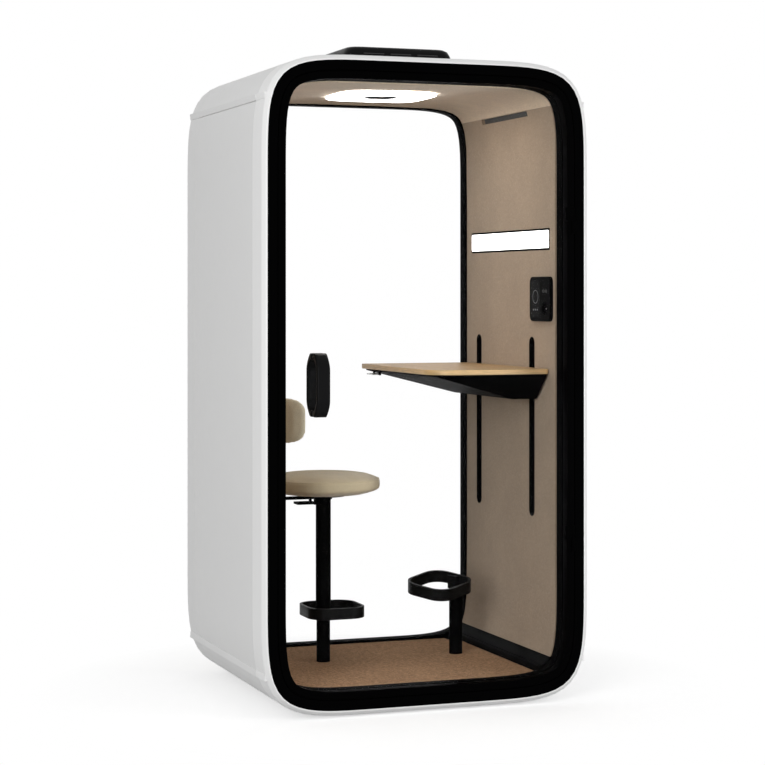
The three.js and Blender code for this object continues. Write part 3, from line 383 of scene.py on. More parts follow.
RUBBER = painted("seal_rubber", (0.002, 0.002, 0.002), 0.8, 900, 0.05 * MM, Specular_IOR_Level=0.02)
STEEL = painted("bare_steel", (0.55, 0.55, 0.54), 0.28, 900, 0.02 * MM, Metallic=1.0)
SCREEN = painted("screen_glass", (0.0015, 0.0015, 0.0017), 0.4, 300, 0.005 * MM, Specular_IOR_Level=0.02)
MARK = painted("screen_mark", (0.16, 0.165, 0.17), 0.4, 900, 0.01 * MM)
LOUVRE = painted("hood_louvre", (0.03, 0.03, 0.031), 0.4, 900, 0.02 * MM, Specular_IOR_Level=0.3)
VENT_WHITE = painted("vent_plate", (0.85, 0.85, 0.84), 0.5, 900, 0.02 * MM, 0.02)
FELT = felt("wall_felt", (0.42, 0.31, 0.215))
# The ceiling's felt is the wall felt set about twice as light: painted light for the brighter ceiling.
CEILING_FELT_PAINTED_LIGHT = felt("ceiling_felt_painted_light", (0.84, 0.67, 0.5))
CARPET = carpet_pile("carpet_pile", (0.72, 0.44, 0.265))
FABRIC = woven("seat_wool", (0.72, 0.60, 0.41))
# The backrest is the seat's wool set lighter: painted light for the light the pad catches.
PAD_FABRIC_PAINTED_LIGHT = woven("back_wool_painted_lighter", (0.93, 0.82, 0.62))
OAK = oak("desk_oak", (0.60, 0.40, 0.19), (0.42, 0.25, 0.10))
GLASS = clear_glass("clear_glass")
CEILING_GLOW = glowing("ceiling_diffuser", 9)
WALL_GLOW = glowing("wall_diffuser", 4)

# Materials of the CAD nodes that stay in view; the rest are stood for by pieces made below
NODE_MATERIAL = {"left_core": FOAM, "right_core": FOAM, "roof_core": FOAM, "floor_deck": DECK}


def mesh_object(name, bm, material, smooth_angle=35):
    """A new object from a bmesh, with smooth faces and sharp edges above an angle."""
    bmesh.ops.recalc_face_normals(bm, faces=bm.faces)
    for face in bm.faces:
        face.smooth = True
    limit = math.radians(smooth_angle)
    for edge in bm.edges:
        edge.smooth = len(edge.link_faces) == 2 and edge.calc_face_angle(0) < limit
    mesh = bpy.data.meshes.new(name)
    bm.to_mesh(mesh)
    bm.free()
    mesh.materials.append(material)
    made = bpy.data.objects.new(name, mesh)
    bpy.context.scene.collection.objects.link(made)
    return made


def settle(made, body, slot, *nodes):
    """Puts a piece on its body and hides the nodes it stands for; the slot is not used."""
    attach(made, body)
    if nodes:
        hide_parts(*nodes)
    return made


def bridge(bm, rows, around=False):
    """Faces from each row of points to the next, and from the last row to the first if they go around."""
    pairs = list(zip(rows, rows[1:]))
    if around:
        pairs.append((rows[-1], rows[0]))
    for a, b in pairs:
        for k in range(len(a)):
            n = (k + 1) % len(a)
            bm.faces.new((a[k], a[n], b[n], b[k]))


def cap_ends(bm, rows):
    """Closes the first and the last row of points."""
    bm.faces.new(rows[0])
    bm.faces.new(rows[-1])


def slab_into(bm, first, second):
    """Adds a closed solid between two matching outlines."""
    rows = [[bm.verts.new(point) for point in outline] for outline in (first, second)]
    cap_ends(bm, rows)
    bridge(bm, rows)


def round_corners(points, radii, steps=5):
    """A polygon with each corner rounded by its radius."""
    rounded = []
    count = len(points)
    for i, corner in enumerate(points):
        here = Vector(corner)
        if radii[i] <= 0:
            rounded.append(here)
            continue
        before = here + (Vector(points[i - 1]) - here).normalized() * radii[i]
        after = here + (Vector(points[(i + 1) % count]) - here).normalized() * radii[i]
        for k in range(steps + 1):
            t = k / steps
            rounded.append(before * (1 - t) ** 2 + here * (2 * t * (1 - t)) + after * t ** 2)
    return rounded


def shell_path():
    """The outline as (x, z, normal x, normal z), anticlockwise from the right end of the floor."""
    points = []
    for sign_x, sign_z, start in ((1, -1, -90), (1, 1, 0), (-1, 1, 90), (-1, -1, 180)):
        for k in range(CORNER_STEPS + 1):
            angle = math.radians(start + 90 * k / CORNER_STEPS)
            c = math.cos(angle)
            s = math.sin(angle)
            reach = (abs(c) ** CORNER_POWER + abs(s) ** CORNER_POWER) ** (-1 / CORNER_POWER)
            x = sign_x * (HALF_W - CORNER_R) + CORNER_R * reach * c
            z = MID_Z + sign_z * (HALF_H - CORNER_R) + CORNER_R * reach * s
            normal = Vector((
                math.copysign(abs(c) ** (CORNER_POWER - 1), c),
                math.copysign(abs(s) ** (CORNER_POWER - 1), s),
            )).normalized()
            points.append((x, z, normal.x, normal.y))
    return points


PATH = shell_path()


def path_between(low, high, side):
    """The run of the outline on one side (-1 left, 1 right) between two heights, from low to high."""
    line = [p for p in PATH if p[0] * side > 0]
    # Points of the same height lie on the flat top or bottom, so they are put in order across it
    line.sort(key=lambda p: (round(p[1], 6), -p[0] * side if p[1] < MID_Z else p[0] * side))
    cut = []
    for a, b in zip(line, line[1:]):
        for level in (low, high):
            if a[1] < level < b[1]:
                t = (level - a[1]) / (b[1] - a[1])
                cut.append(tuple(a[i] + (b[i] - a[i]) * t for i in range(4)))
    inner = [p for p in line if low <= p[1] <= high]
    return sorted(inner + cut, key=lambda p: p[1])


def path_over(level):
    """The run of the outline above a height, from the right side over the top to the left side."""
    right = path_between(level, MID_Z + HALF_H - 1e-6, 1)
    left = path_between(level, MID_Z + HALF_H - 1e-6, -1)
    return right + left[::-1]


def path_under(level):
    """The run of the outline below a height, from the left side under the base to the right side."""
    left = path_between(MID_Z - HALF_H + 1e-6, level, -1)
    right = path_between(MID_Z - HALF_H + 1e-6, level, 1)
    return left[::-1] + right


def sweep_into(bm, path, section, closed):
    """Adds a section of (inset, y) points, carried along the outline."""
    rows = []
    for x, z, nx, nz in path:
        rows.append([bm.verts.new((x - inset * nx, y, z - inset * nz)) for inset, y in section])
    bridge(bm, rows, closed)
    if not closed:
        cap_ends(bm, rows)


def lips_into(bm, thickness, y0, y1, seams, rise):
    """Adds the raised, leaning strips that run along the seams on both sides."""
    for low, high in seams:
        for side in (-1, 1):
            line = path_between(low, high, side)
            last = len(line) - 1
            outer = []
            for x, z, nx, nz in line:
                up = (z - low) / (high - low)
                share = up if low > MID_Z else 1 - up
                proud = rise * (LIP_LEAST + (1 - LIP_LEAST) * share)
                outer.append((x + proud * nx, z + proud * nz))
            inner = [(x - thickness * nx, z - thickness * nz) for x, z, nx, nz in (line[last], line[0])]
            radii = [LIP_EDGE_R] + [0] * (last - 1) + [LIP_EDGE_R, 0, 0]
            shape = round_corners(outer + inner, radii, 3)
            slab_into(bm, [(p.x, y0, p.y) for p in shape], [(p.x, y1, p.y) for p in shape])


def swept(name, path, points, radii, closed, material, lips=None):
    """A piece made of a rounded section on the outline, with lips if it has a seam."""
    bm = bmesh.new()
    sweep_into(bm, path, round_corners(points, radii), closed)
    if lips:
        lips_into(bm, *lips)
    return mesh_object(name, bm, material)


def soften(node, width, material, body, slot, angle=32, segments=3):
    """A copy of a CAD node's shape with clean faces and rounded edges, standing for the node."""
    bm = bmesh.new()
    bm.from_mesh(NODES[node].data)
    bmesh.ops.remove_doubles(bm, verts=bm.verts, dist=0.01 * MM)
    bmesh.ops.dissolve_limit(bm, angle_limit=math.radians(1), verts=bm.verts, edges=bm.edges)
    made = mesh_object(node + "_form", bm, material, angle)
    edges = made.modifiers.new("soft edges", "BEVEL")
    edges.width = width
    edges.segments = segments
    edges.limit_method = "ANGLE"
    edges.angle_limit = math.radians(angle)
    edges.harden_normals = True
    return settle(made, body, slot, node)


def prism_x(name, shape, x0, x1, material, edge=0.0):
    """A flat piece on the desk wall: a (y, z) outline between two depths, with a rounded rim."""
    bm = bmesh.new()
    slab_into(bm, [(x0, y, z) for y, z in shape], [(x1, y, z) for y, z in shape])
    if edge > 0:
        bmesh.ops.recalc_face_normals(bm, faces=bm.faces)
        rim = [e for e in bm.edges if all(abs(v.co.x - x0) < 1e-7 for v in e.verts)]
        bmesh.ops.bevel(bm, geom=rim, offset=edge, segments=3, profile=0.5, affect="EDGES")
    return mesh_object(name, bm, material)


def rectangle(cy, cz, w, h, r, steps=6):
    """A rounded rectangle as (y, z) points."""
    corners = [
        (cy - w / 2, cz - h / 2), (cy + w / 2, cz - h / 2),
        (cy + w / 2, cz + h / 2), (cy - w / 2, cz + h / 2),
    ]
    return [(p.x, p.y) for p in round_corners(corners, [r] * 4, steps)]


def circle(cy, cz, r, steps):
    """A circle as points in a plane."""
    return [
        (cy + r * math.cos(2 * math.pi * k / steps), cz + r * math.sin(2 * math.pi * k / steps))
        for k in range(steps)
    ]


def tube_along(name, points, radius, material, closed=True, sides=8):
    """A round cord of fabric or metal laid along points."""
    bm = bmesh.new()
    rows = []
    count = len(points)
    for i, point in enumerate(points):
        after = points[(i + 1) % count] if closed or i + 1 < count else point
        before = points[i - 1] if closed or i > 0 else point
        forward = (Vector(after) - Vector(before)).normalized()
        across = forward.cross(Vector((0, 0, 1)))
        if across.length < 0.1:
            across = forward.cross(Vector((1, 0, 0)))
        across.normalize()
        up = across.cross(forward)
        rows.append([
            bm.verts.new(Vector(point) + radius * (
                across * math.cos(2 * math.pi * k / sides) + up * math.sin(2 * math.pi * k / sides)
            ))
            for k in range(sides)
        ])
    bridge(bm, rows, closed)
    if not closed:
        cap_ends(bm, rows)
    return mesh_object(name, bm, material, 80)


def puff(made, voxel, cap, rounds):
    """Swells a closed piece like stuffed fabric: remesh, cloth under pressure, capped, then smoothed."""
    bpy.context.view_layer.objects.active = made
    made.select_set(True)
    remesh = made.modifiers.new("even mesh", "REMESH")
    remesh.mode = "VOXEL"
    remesh.voxel_size = voxel
    bpy.ops.object.modifier_apply(modifier=remesh.name)
    start = [v.co.copy() for v in made.data.vertices]
    cloth = made.modifiers.new("filling", "CLOTH")
    cloth.settings.use_pressure = True
    cloth.settings.uniform_pressure_force = PRESSURE
    cloth.settings.effector_weights.gravity = 0
    cloth.settings.quality = 5
    cloth.point_cache.frame_end = CLOTH_FRAMES
    for k in range(1, CLOTH_FRAMES + 1):
        bpy.context.scene.frame_set(k)
    bpy.ops.object.modifier_apply(modifier=cloth.name)
    bpy.context.scene.frame_set(1)
    for vertex, first in zip(made.data.vertices, start):
        move = vertex.co - first
        if move.length > cap:
            vertex.co = first + move.normalized() * cap
    smooth = made.modifiers.new("even skin", "SMOOTH")
    smooth.factor = 0.5
    smooth.iterations = rounds
    bpy.ops.object.modifier_apply(modifier=smooth.name)
    finer = made.modifiers.new("fine skin", "SUBSURF")
    finer.levels = 1
    finer.render_levels = 1
    bpy.ops.object.modifier_apply(modifier=finer.name)
    for polygon in made.data.polygons:
        polygon.use_smooth = True
    made.select_set(False)
    return made


def surface_of(made):
    """A piece's surface, for rays to meet."""
    bm = bmesh.new()
    bm.from_mesh(made.data)
    tree = BVHTree.FromBMesh(bm)
    bm.free()
    return tree


def build_shell():
    """White bezels, roof, base and side panels, with their seams."""
    # The front bezel takes the lighter white, which is painted light; the rear bezel takes the plain white.
    for place, face, turn, inner, paint, rise in (
        ("front", FRONT, 1, BEZEL_BACK, BEZEL_PAINTED_LIGHT, BEZEL_LIP_PROUD),
        ("rear", BACK, -1, REAR_BEZEL_FRONT, WHITE, LIP_PROUD),
    ):
        edge = face + turn * BEZEL_CHAMFER
        section = [(0, edge), (BEZEL_CHAMFER, face), (BEZEL_T, face), (BEZEL_T, inner), (0, inner)]
        lips = (BEZEL_T, min(edge, inner), max(edge, inner), (SEAM_TOP, SEAM_BOTTOM), rise)
        made = swept(place + "_bezel_form", PATH, section, BEZEL_RADII, True, paint, lips)
        settle(made, "pod", "white_shell", place + "_bezel")

    skin = [(0, BODY_FRONT), (SKIN_T, BODY_FRONT), (SKIN_T, BODY_BACK), (0, BODY_BACK)]
    for node, run, seam in (
        ("roof_shell", path_over(SEAM_TOP[0]), SEAM_TOP),
        ("base_shell", path_under(SEAM_BOTTOM[1]), SEAM_BOTTOM),
    ):
        lips = (SKIN_T, BODY_FRONT, BODY_BACK, (seam,), LIP_PROUD)
        made = swept(node + "_form", run, skin, SKIN_RADII, False, WHITE, lips)
        settle(made, "pod", "white_shell", node)
    tongue = [(max(inset, GROOVE_DEEP), y) for inset, y in skin]
    for side, place in ((-1, "left"), (1, "right")):
        bm = bmesh.new()
        run = path_between(SEAM_BOTTOM[1] + FIT, SEAM_TOP[0] - SEAM_GAP, side)
        sweep_into(bm, run, round_corners(skin, SKIN_RADII), False)
        run = path_between(SEAM_TOP[0] - SEAM_GAP, SEAM_TOP[0] - FIT, side)
        sweep_into(bm, run, tongue, False)
        made = mesh_object(place + "_side_panel_form", bm, WHITE)
        settle(made, "pod", "white_shell", place + "_side_panel")
    for k in range(1, 5):
        soften(f"levelling_foot_{k}", 0.8 * MM, BLACK, "pod", "black_metal")


def outline_plate(name, inset, y0, y1, material, edge):
    """A pane that fills the outline at an inset, with a small arris."""
    bm = bmesh.new()
    rows = []
    for depth, back in ((y0, edge), (y0 + edge, 0), (y1 - edge, 0), (y1, edge)):
        rows.append([
            bm.verts.new((x - (inset + back) * nx, depth, z - (inset + back) * nz))
            for x, z, nx, nz in PATH
        ])
    bridge(bm, rows)
    cap_ends(bm, rows)
    return mesh_object(name, bm, material)


def build_frames():
    """Black frames at both ends, the rear pane and the door seal."""
    jamb_back = FRONT + JAMB_DEEP
    section = [
        (BEZEL_T + FIT, FRONT), (FRAME_IN, FRONT), (FRAME_IN, STOP_Y), (DOOR_IN, STOP_Y),
        (DOOR_IN, FRONT + REVEAL), (LINING_OUT - FIT, FRONT + REVEAL),
        (LINING_OUT - FIT, jamb_back), (BEZEL_T + FIT, jamb_back),
    ]
    radii = [0.8 * MM, 1.5 * MM, 0, 1.5 * MM, 2 * MM, 0, 0, 0]
    made = swept("front_frame_form", PATH, section, radii, True, FRAME)
    settle(made, "pod", "black_frame", "front_frame")
    rear_in = LINING_OUT - FIT
    section = [
        (BEZEL_T + FIT, BACK - JAMB_DEEP), (rear_in, BACK - JAMB_DEEP), (rear_in, BACK - REAR_RIM[0]),
        (REAR_RIM_IN, BACK - REAR_RIM[0]), (REAR_RIM_IN, BACK - REAR_RIM[1]),
        (rear_in, BACK - REAR_RIM[1]), (rear_in, BACK), (BEZEL_T + FIT, BACK),
    ]
    radii = [0, 0, 0, 1.5 * MM, 1.5 * MM, 0, 1.5 * MM, 0.8 * MM]
    made = swept("rear_frame_form", PATH, section, radii, True, FRAME)
    settle(made, "pod", "black_frame", "rear_frame")
    low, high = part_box("rear_glass")
    made = outline_plate("rear_glass_form", HALF_W - high.x, low.y, high.y, GLASS, PANE_ARRIS)
    settle(made, "pod", "clear_glass", "rear_glass")

    low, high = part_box("door_seal")
    seal_out = HALF_W - high.x
    seal_in = seal_out + SEAL_W
    section = [(seal_out, high.y), (seal_out, low.y), (seal_in, low.y), (seal_in, high.y)]
    made = swept("door_seal_form", PATH, section, [0, 1.8 * MM, 1.8 * MM, 0], True, RUBBER)
    settle(made, "pod", "seal_rubber", "door_seal")


def build_door():
    """Door leaf with a soft-edged rim, its pane, pulls and hinges."""
    section = [(DOOR_OUT, FRONT), (DOOR_IN, FRONT), (DOOR_IN, FRONT + DOOR_T), (DOOR_OUT, FRONT + DOOR_T)]
    made = swept("door_frame_form", PATH, section, [1.6 * MM, 1.6 * MM, 1.6 * MM, 1 * MM], True, LEAF)
    settle(made, "door", "black_door", "door_frame")
    low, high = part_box("door_glass")
    made = outline_plate("door_glass_form", HALF_W - high.x, low.y, high.y, GLASS, PANE_ARRIS)
    settle(made, "door", "clear_glass", "door_glass")
    for place in ("outer", "inner"):
        soften(place + "_handle", 6 * MM, SATIN, "door", "black_metal", 40, 6)
    for place in ("upper", "lower"):
        soften(place + "_hinge_leaf", 0.6 * MM, FRAME, "pod", "black_metal")
        soften(place + "_hinge_knuckle", 0.6 * MM, FRAME, "door", "black_metal")


def build_cabin():
    """Felt walls and ceiling with a black strip of painted shade where they meet, skirting, slot trims and
    carpet.
    """
    low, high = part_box("left_lining")
    run = path_between(low.z, high.z, -1)
    section = [(LINING_OUT, low.y), (WALL_T, low.y), (WALL_T, high.y), (LINING_OUT, high.y)]
    made = swept("left_lining_form", run, section, [0, 2 * MM, 2 * MM, 0], False, FELT)
    settle(made, "pod", "wall_felt", "left_lining")
    soften("right_lining", 1.2 * MM, FELT, "pod", "wall_felt")
    # The ceiling takes the lighter copy of the wall felt, which is painted light.
    soften("ceiling_lining", 1.2 * MM, CEILING_FELT_PAINTED_LIGHT, "pod", "wall_felt")
    for side in ("left", "right"):
        soften(side + "_skirting", 1.0 * MM, PLASTIC, "pod", "black_plastic")

    # The joint between wall and ceiling felt, drawn as a black strip that stands for the shade in the crease:
    # painted shade.
    low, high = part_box("right_lining")
    behind = WALL_T - SHADE_STRIP_DEEP
    ahead = WALL_T + SHADE_STRIP_PROUD
    section = [(behind, low.y), (ahead, low.y), (ahead, high.y), (behind, high.y)]
    for side, place in ((-1, "left"), (1, "right")):
        run = path_between(high.z - SHADE_STRIP_HALF, high.z + SHADE_STRIP_HALF, side)
        made = swept(place + "_ceiling_shade_strip", run, section, [0] * 4, False, PLASTIC)
        settle(made, "pod", "black_plastic")
    for place in ("front", "rear"):
        build_slot_trim(place)
    build_carpet()


def build_slot_trim(place):
    """Black trim that lines a rail slot through the felt, flush with the wall."""
    low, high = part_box(place + "_rail")
    middle = (low.y + high.y) / 2
    face = HALF_W - WALL_T - TRIM_PROUD
    bm = bmesh.new()
    rows = []
    for x, grow in ((face, TRIM_OUT), (low.x, TRIM_OUT), (low.x, -TRIM_IN), (face, -TRIM_IN)):
        shape = stadium(middle, SLOT_LOW - grow, SLOT_HIGH + grow, SLOT_W / 2 + grow)
        rows.append([bm.verts.new((x, y, z)) for y, z in shape])
    bridge(bm, rows, True)
    settle(mesh_object(place + "_slot_trim", bm, PLASTIC), "pod", "black_plastic")


def stadium(cy, z0, z1, r, steps=12):
    """An upright slot with round ends, as (y, z) points."""
    points = []
    for middle, start in ((z1 - r, 0), (z0 + r, math.pi)):
        for k in range(steps + 1):
            angle = start + math.pi * k / steps
            points.append((cy + r * math.cos(angle), middle + r * math.sin(angle)))
    return points


def build_carpet():
    """Carpet with an uneven nap and a turned-down rim."""
    low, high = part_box("carpet")
    nx = int((high.x - low.x) / CARPET_STEP)
    ny = int((high.y - low.y) / CARPET_STEP)
    bm = bmesh.new()
    grid = []
    for i in range(nx + 1):
        row = []
        for j in range(ny + 1):
            x = low.x + (high.x - low.x) * i / nx
            y = low.y + (high.y - low.y) * j / ny
            nap = noise.noise(Vector((x * 260, y * 260, 3.7))) + noise.noise(Vector((x * 40, y * 40, 1.3)))
            edge = CARPET_RIM if i in (0, nx) or j in (0, ny) else 0
            row.append(bm.verts.new((x, y, high.z + CARPET_NAP * nap - edge)))
        grid.append(row)
    for i in range(nx):
        for j in range(ny):
            bm.faces.new((grid[i][j], grid[i + 1][j], grid[i + 1][j + 1], grid[i][j + 1]))
    rim = [e for e in bm.edges if e.is_boundary]
    walls = bmesh.ops.extrude_edge_only(bm, edges=rim)["geom"]
    for vertex in (v for v in walls if isinstance(v, bmesh.types.BMVert)):
        vertex.co.z = low.z
    made = mesh_object("carpet_form", bm, CARPET, 60)
    settle(made, "pod", "carpet_pile", "carpet")


def build_services():
    """Lights, vent, fan, hood, control panel and socket."""
    build_ceiling_light()
    soften("fan_housing", 0.6 * MM, PLASTIC, "pod", "black_plastic")
    soften("fan_impeller", 0.5 * MM, PLASTIC, "fan", "black_plastic")
    build_hood()
    build_wall_light()
    soften("control_housing", 1.5 * MM, PLASTIC, "pod", "black_plastic", 40)
    soften("control_screen", 0.5 * MM, SCREEN, "pod", "screen_glass", 40)
    soften("power_socket", 0.8 * MM, PLASTIC, "pod", "black_plastic", 40)
    build_panel_details()


def build_wall_light():
    """A long diffuser with rounded corners, in a thin black rim."""
    low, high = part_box("wall_light_frame")
    cy = (low.y + high.y) / 2
    cz = (low.z + high.z) / 2
    wide = high.y - low.y
    tall = high.z - low.z
    back = low.x + WALL_LIGHT_PROUD
    shape = rectangle(cy, cz, wide, tall, WALL_LIGHT_CORNER)
    made = prism_x("wall_light_frame_form", shape, back, high.x, BLACK, 0.6 * MM)
    settle(made, "pod", "black_metal", "wall_light_frame")
    shape = rectangle(cy, cz, wide - 2 * WALL_LIGHT_RIM, tall - 2 * WALL_LIGHT_RIM, DIFFUSER_CORNER)
    made = prism_x("wall_light_diffuser_form", shape, low.x, back, WALL_GLOW, 0.4 * MM)
    settle(made, "pod", "light_diffuser", "wall_light_diffuser")


def build_panel_details():
    """Plain dial and dots on the screen, pins in the socket and two small ports above it."""
    low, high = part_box("control_screen")
    face = low.x
    cy = (low.y + high.y) / 2
    cz = (low.z + high.z) / 2
    ring = [(face, y, z) for y, z in circle(cy, cz + DIAL_UP, DIAL_R, 64)]
    settle(tube_along("screen_dial", ring, 0.8 * MM, MARK), "pod", "screen_glass")
    for k in (-1, 0, 1):
        shape = circle(cy + k * DOT_PITCH, cz - DOT_DOWN, DOT_R, 24)
        dot = prism_x(f"screen_dot_{k + 2}", shape, face - 0.6 * MM, face + 0.4 * MM, MARK, 0.2 * MM)
        settle(dot, "pod", "screen_glass")

    low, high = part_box("power_socket")
    cy = (low.y + high.y) / 2
    cz = (low.z + high.z) / 2
    for k, place in ((-1, "right"), (1, "left")):
        shape = circle(cy + k * PIN_FROM_MIDDLE, cz, PIN_R, 20)
        pin = prism_x("socket_pin_" + place, shape, high.x - 4.6 * MM, high.x - 2.5 * MM, STEEL, 0.4 * MM)
        settle(pin, "pod", "bare_steel")

    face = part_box("control_housing")[0].x
    wide, tall = PORT_SIZE
    for k in (0, 1):
        y = cy + (k - 0.5) * PORT_PITCH
        shape = rectangle(y, cz + PORT_UP, wide, tall, 1.6 * MM)
        port = prism_x(f"panel_port_{k + 1}", shape, face - 0.5 * MM, face + 1 * MM, SCREEN, 0.3 * MM)
        settle(port, "pod", "black_plastic")
        shape = rectangle(y, cz + PORT_UP, wide + PORT_RIM, tall + PORT_RIM, 2 * MM)
        rim = [(face - 0.1 * MM, ry, rz) for ry, rz in shape]
        settle(tube_along(f"panel_port_rim_{k + 1}", rim, 0.5 * MM, MARK), "pod", "black_plastic")


def rounded_square(half, power, r_hole, steps=72):
    """Matching (x, y) points of a superellipse and of a circle inside it."""
    outer = []
    inner = []
    for k in range(steps):
        angle = 2 * math.pi * k / steps
        c = math.cos(angle)
        s = math.sin(angle)
        reach = half * (abs(c) ** power + abs(s) ** power) ** (-1 / power)
        outer.append((reach * c, reach * s))
        inner.append((r_hole * c, r_hole * s))
    return outer, inner


def build_ceiling_light():
    """Opal panel with soft corners, and the round vent with two half-moon openings in its middle."""
    low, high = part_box("ceiling_light_diffuser")
    vent_low, vent_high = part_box("ceiling_vent")
    middle = (vent_low + vent_high) / 2
    vent_r = (vent_high.x - vent_low.x) / 2
    outer, inner = rounded_square((high.x - low.x) / 2, LIGHT_POWER, vent_r + 0.5 * MM)
    bottom = vent_low.z + 1 * MM
    rows = []
    bm = bmesh.new()
    for shape, scale, z in (
        (outer, 1, high.z), (outer, 1, bottom + 3 * MM), (outer, 0.992, bottom + 0.8 * MM),
        (outer, 0.98, bottom), (inner, 1, bottom), (inner, 1, high.z),
    ):
        rows.append([bm.verts.new((middle.x + x * scale, middle.y + y * scale, z)) for x, y in shape])
    bridge(bm, rows, True)
    made = mesh_object("ceiling_light_form", bm, CEILING_GLOW)
    settle(made, "pod", "light_diffuser", "ceiling_light_diffuser")

    bm = bmesh.new()
    disc = [(middle.x + x, middle.y + y) for x, y in circle(0, 0, vent_r, 72)]
    slab_into(bm, [(x, y, vent_high.z) for x, y in disc], [(x, y, bottom) for x, y in disc])
    made = mesh_object("ceiling_vent_form", bm, VENT_WHITE)
    settle(made, "pod", "white_shell", "ceiling_vent")
    for side, place in ((-1, "left"), (1, "right")):
        moon = [(side * MOON_GAP, -MOON_R * 0.98), (side * MOON_GAP, MOON_R * 0.98)]
        for k in range(1, 24):
            angle = math.pi / 2 - math.pi * k / 24
            reach = MOON_GAP + (MOON_R - MOON_GAP) * math.cos(angle)
            moon.append((side * reach, MOON_R * math.sin(angle)))
        moon = [(middle.x + x, middle.y + y) for x, y in moon]
        bm = bmesh.new()
        slab_into(bm, [(x, y, bottom + 1 * MM) for x, y in moon], [(x, y, vent_low.z) for x, y in moon])
        settle(mesh_object("vent_moon_" + place, bm, PLASTIC), "pod", "black_plastic")


def build_hood():
    """Low roof hood with soft corners, leaning sides, and louvred panels in its faces."""
    low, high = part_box("roof_vent_hood")
    middle = (low + high) / 2
    half = ((high.x - low.x) / 2, (high.y - low.y) / 2)
    height = high.z - low.z
    bm = bmesh.new()
    rows = []
    for up, lean in (
        (0, 0), (0.08, 1 * MM), (HOOD_SHOULDER, HOOD_LEAN), (0.86, 17 * MM), (0.97, 28 * MM), (1, 44 * MM),
    ):
        shape = rectangle(0, 0, 2 * (half[0] - lean), 2 * (half[1] - lean), HOOD_CORNER, 8)
        rows.append([bm.verts.new((middle.x + x, middle.y + y, low.z + up * height)) for x, y in shape])
    bridge(bm, rows)
    cap_ends(bm, rows)
    made = mesh_object("roof_vent_hood_form", bm, SATIN, 50)
    settle(made, "pod", "black_metal", "roof_vent_hood")
    for k in (-1, 0, 1):
        for slat in range(4):
            up = 0.2 + 0.13 * slat
            z = low.z + up * height
            lean = HOOD_LEAN * up / HOOD_SHOULDER + 0.4 * MM
            for face, ax, ay in (("front", 0, -1), ("back", 0, 1), ("left", -1, 0), ("right", 1, 0)):
                outward = Vector((ax, ay, 0))
                along = Vector((abs(ay), abs(ax), 0))
                reach = (half[1] if ay else half[0]) - lean
                centre = Vector((middle.x, middle.y, z)) + outward * reach + along * k * LOUVRE_PITCH
                ends = [centre - along * LOUVRE_HALF, centre + along * LOUVRE_HALF]
                made = tube_along(f"hood_louvre_{face}_{k + 1}_{slat}", ends, LOUVRE_R, LOUVRE, False)
                settle(made, "pod", "black_metal")


def build_desk():
    """Rails, carriage, bracket, oak top and release lever."""
    soften("front_rail", 0.6 * MM, PLASTIC, "pod", "black_plastic")
    soften("rear_rail", 0.6 * MM, PLASTIC, "pod", "black_plastic")
    soften("desk_carriage", 1.0 * MM, BLACK, "desk", "black_metal")
    soften("desk_bracket", 1.5 * MM, BLACK, "desk", "black_metal", 30)
    soften("desk_top", 2.0 * MM, OAK, "desk", "desk_wood", 40)
    soften("desk_lever", 1.2 * MM, STEEL, "desk_release", "bare_steel")


def build_stool():
    """Column, foot ring, plate, lever and backrest arm."""
    soften("seat_post", 0.8 * MM, BLACK, "pod", "black_metal", 40)
    soften("gas_cylinder", 0.6 * MM, BLACK, "pod", "black_metal", 40)
    soften("gas_rod", 0.4 * MM, STEEL, "seat_column", "bare_steel", 40)
    soften("seat_sleeve", 0.8 * MM, BLACK, "seat_column", "black_metal", 40)
    soften("foot_ring", 1.8 * MM, SATIN, "seat_column", "black_metal", 40)
    soften("seat_plate", 1.0 * MM, BLACK, "seat", "black_metal", 40)
    soften("seat_lever", 1.5 * MM, PLASTIC, "seat_release", "black_plastic")
    soften("backrest_arm", 1.5 * MM, BLACK, "seat", "black_metal")


def cushion_form(name, low, high):
    """A round seat pad: flat under, pulled in at its foot, full at the side and crowned on top."""
    centre = (low + high) / 2
    radius = (high.x - low.x) / 2
    ring = circle(0, 0, radius, CUSHION_SIDES)
    bm = bmesh.new()
    rows = []
    for share, up in CUSHION_PROFILE:
        z = low.z + up * (high.z - low.z)
        around = ring if share else [(0, 0)]
        rows.append([bm.verts.new((centre.x + share * x, centre.y + share * y, z)) for x, y in around])
    for a, b in zip(rows, rows[1:]):
        for k in range(CUSHION_SIDES):
            n = (k + 1) % CUSHION_SIDES
            corners = [a[k % len(a)], a[n % len(a)], b[n % len(b)], b[k % len(b)]]
            bm.faces.new(list(dict.fromkeys(corners)))
    return mesh_object(name, bm, FABRIC, 80)


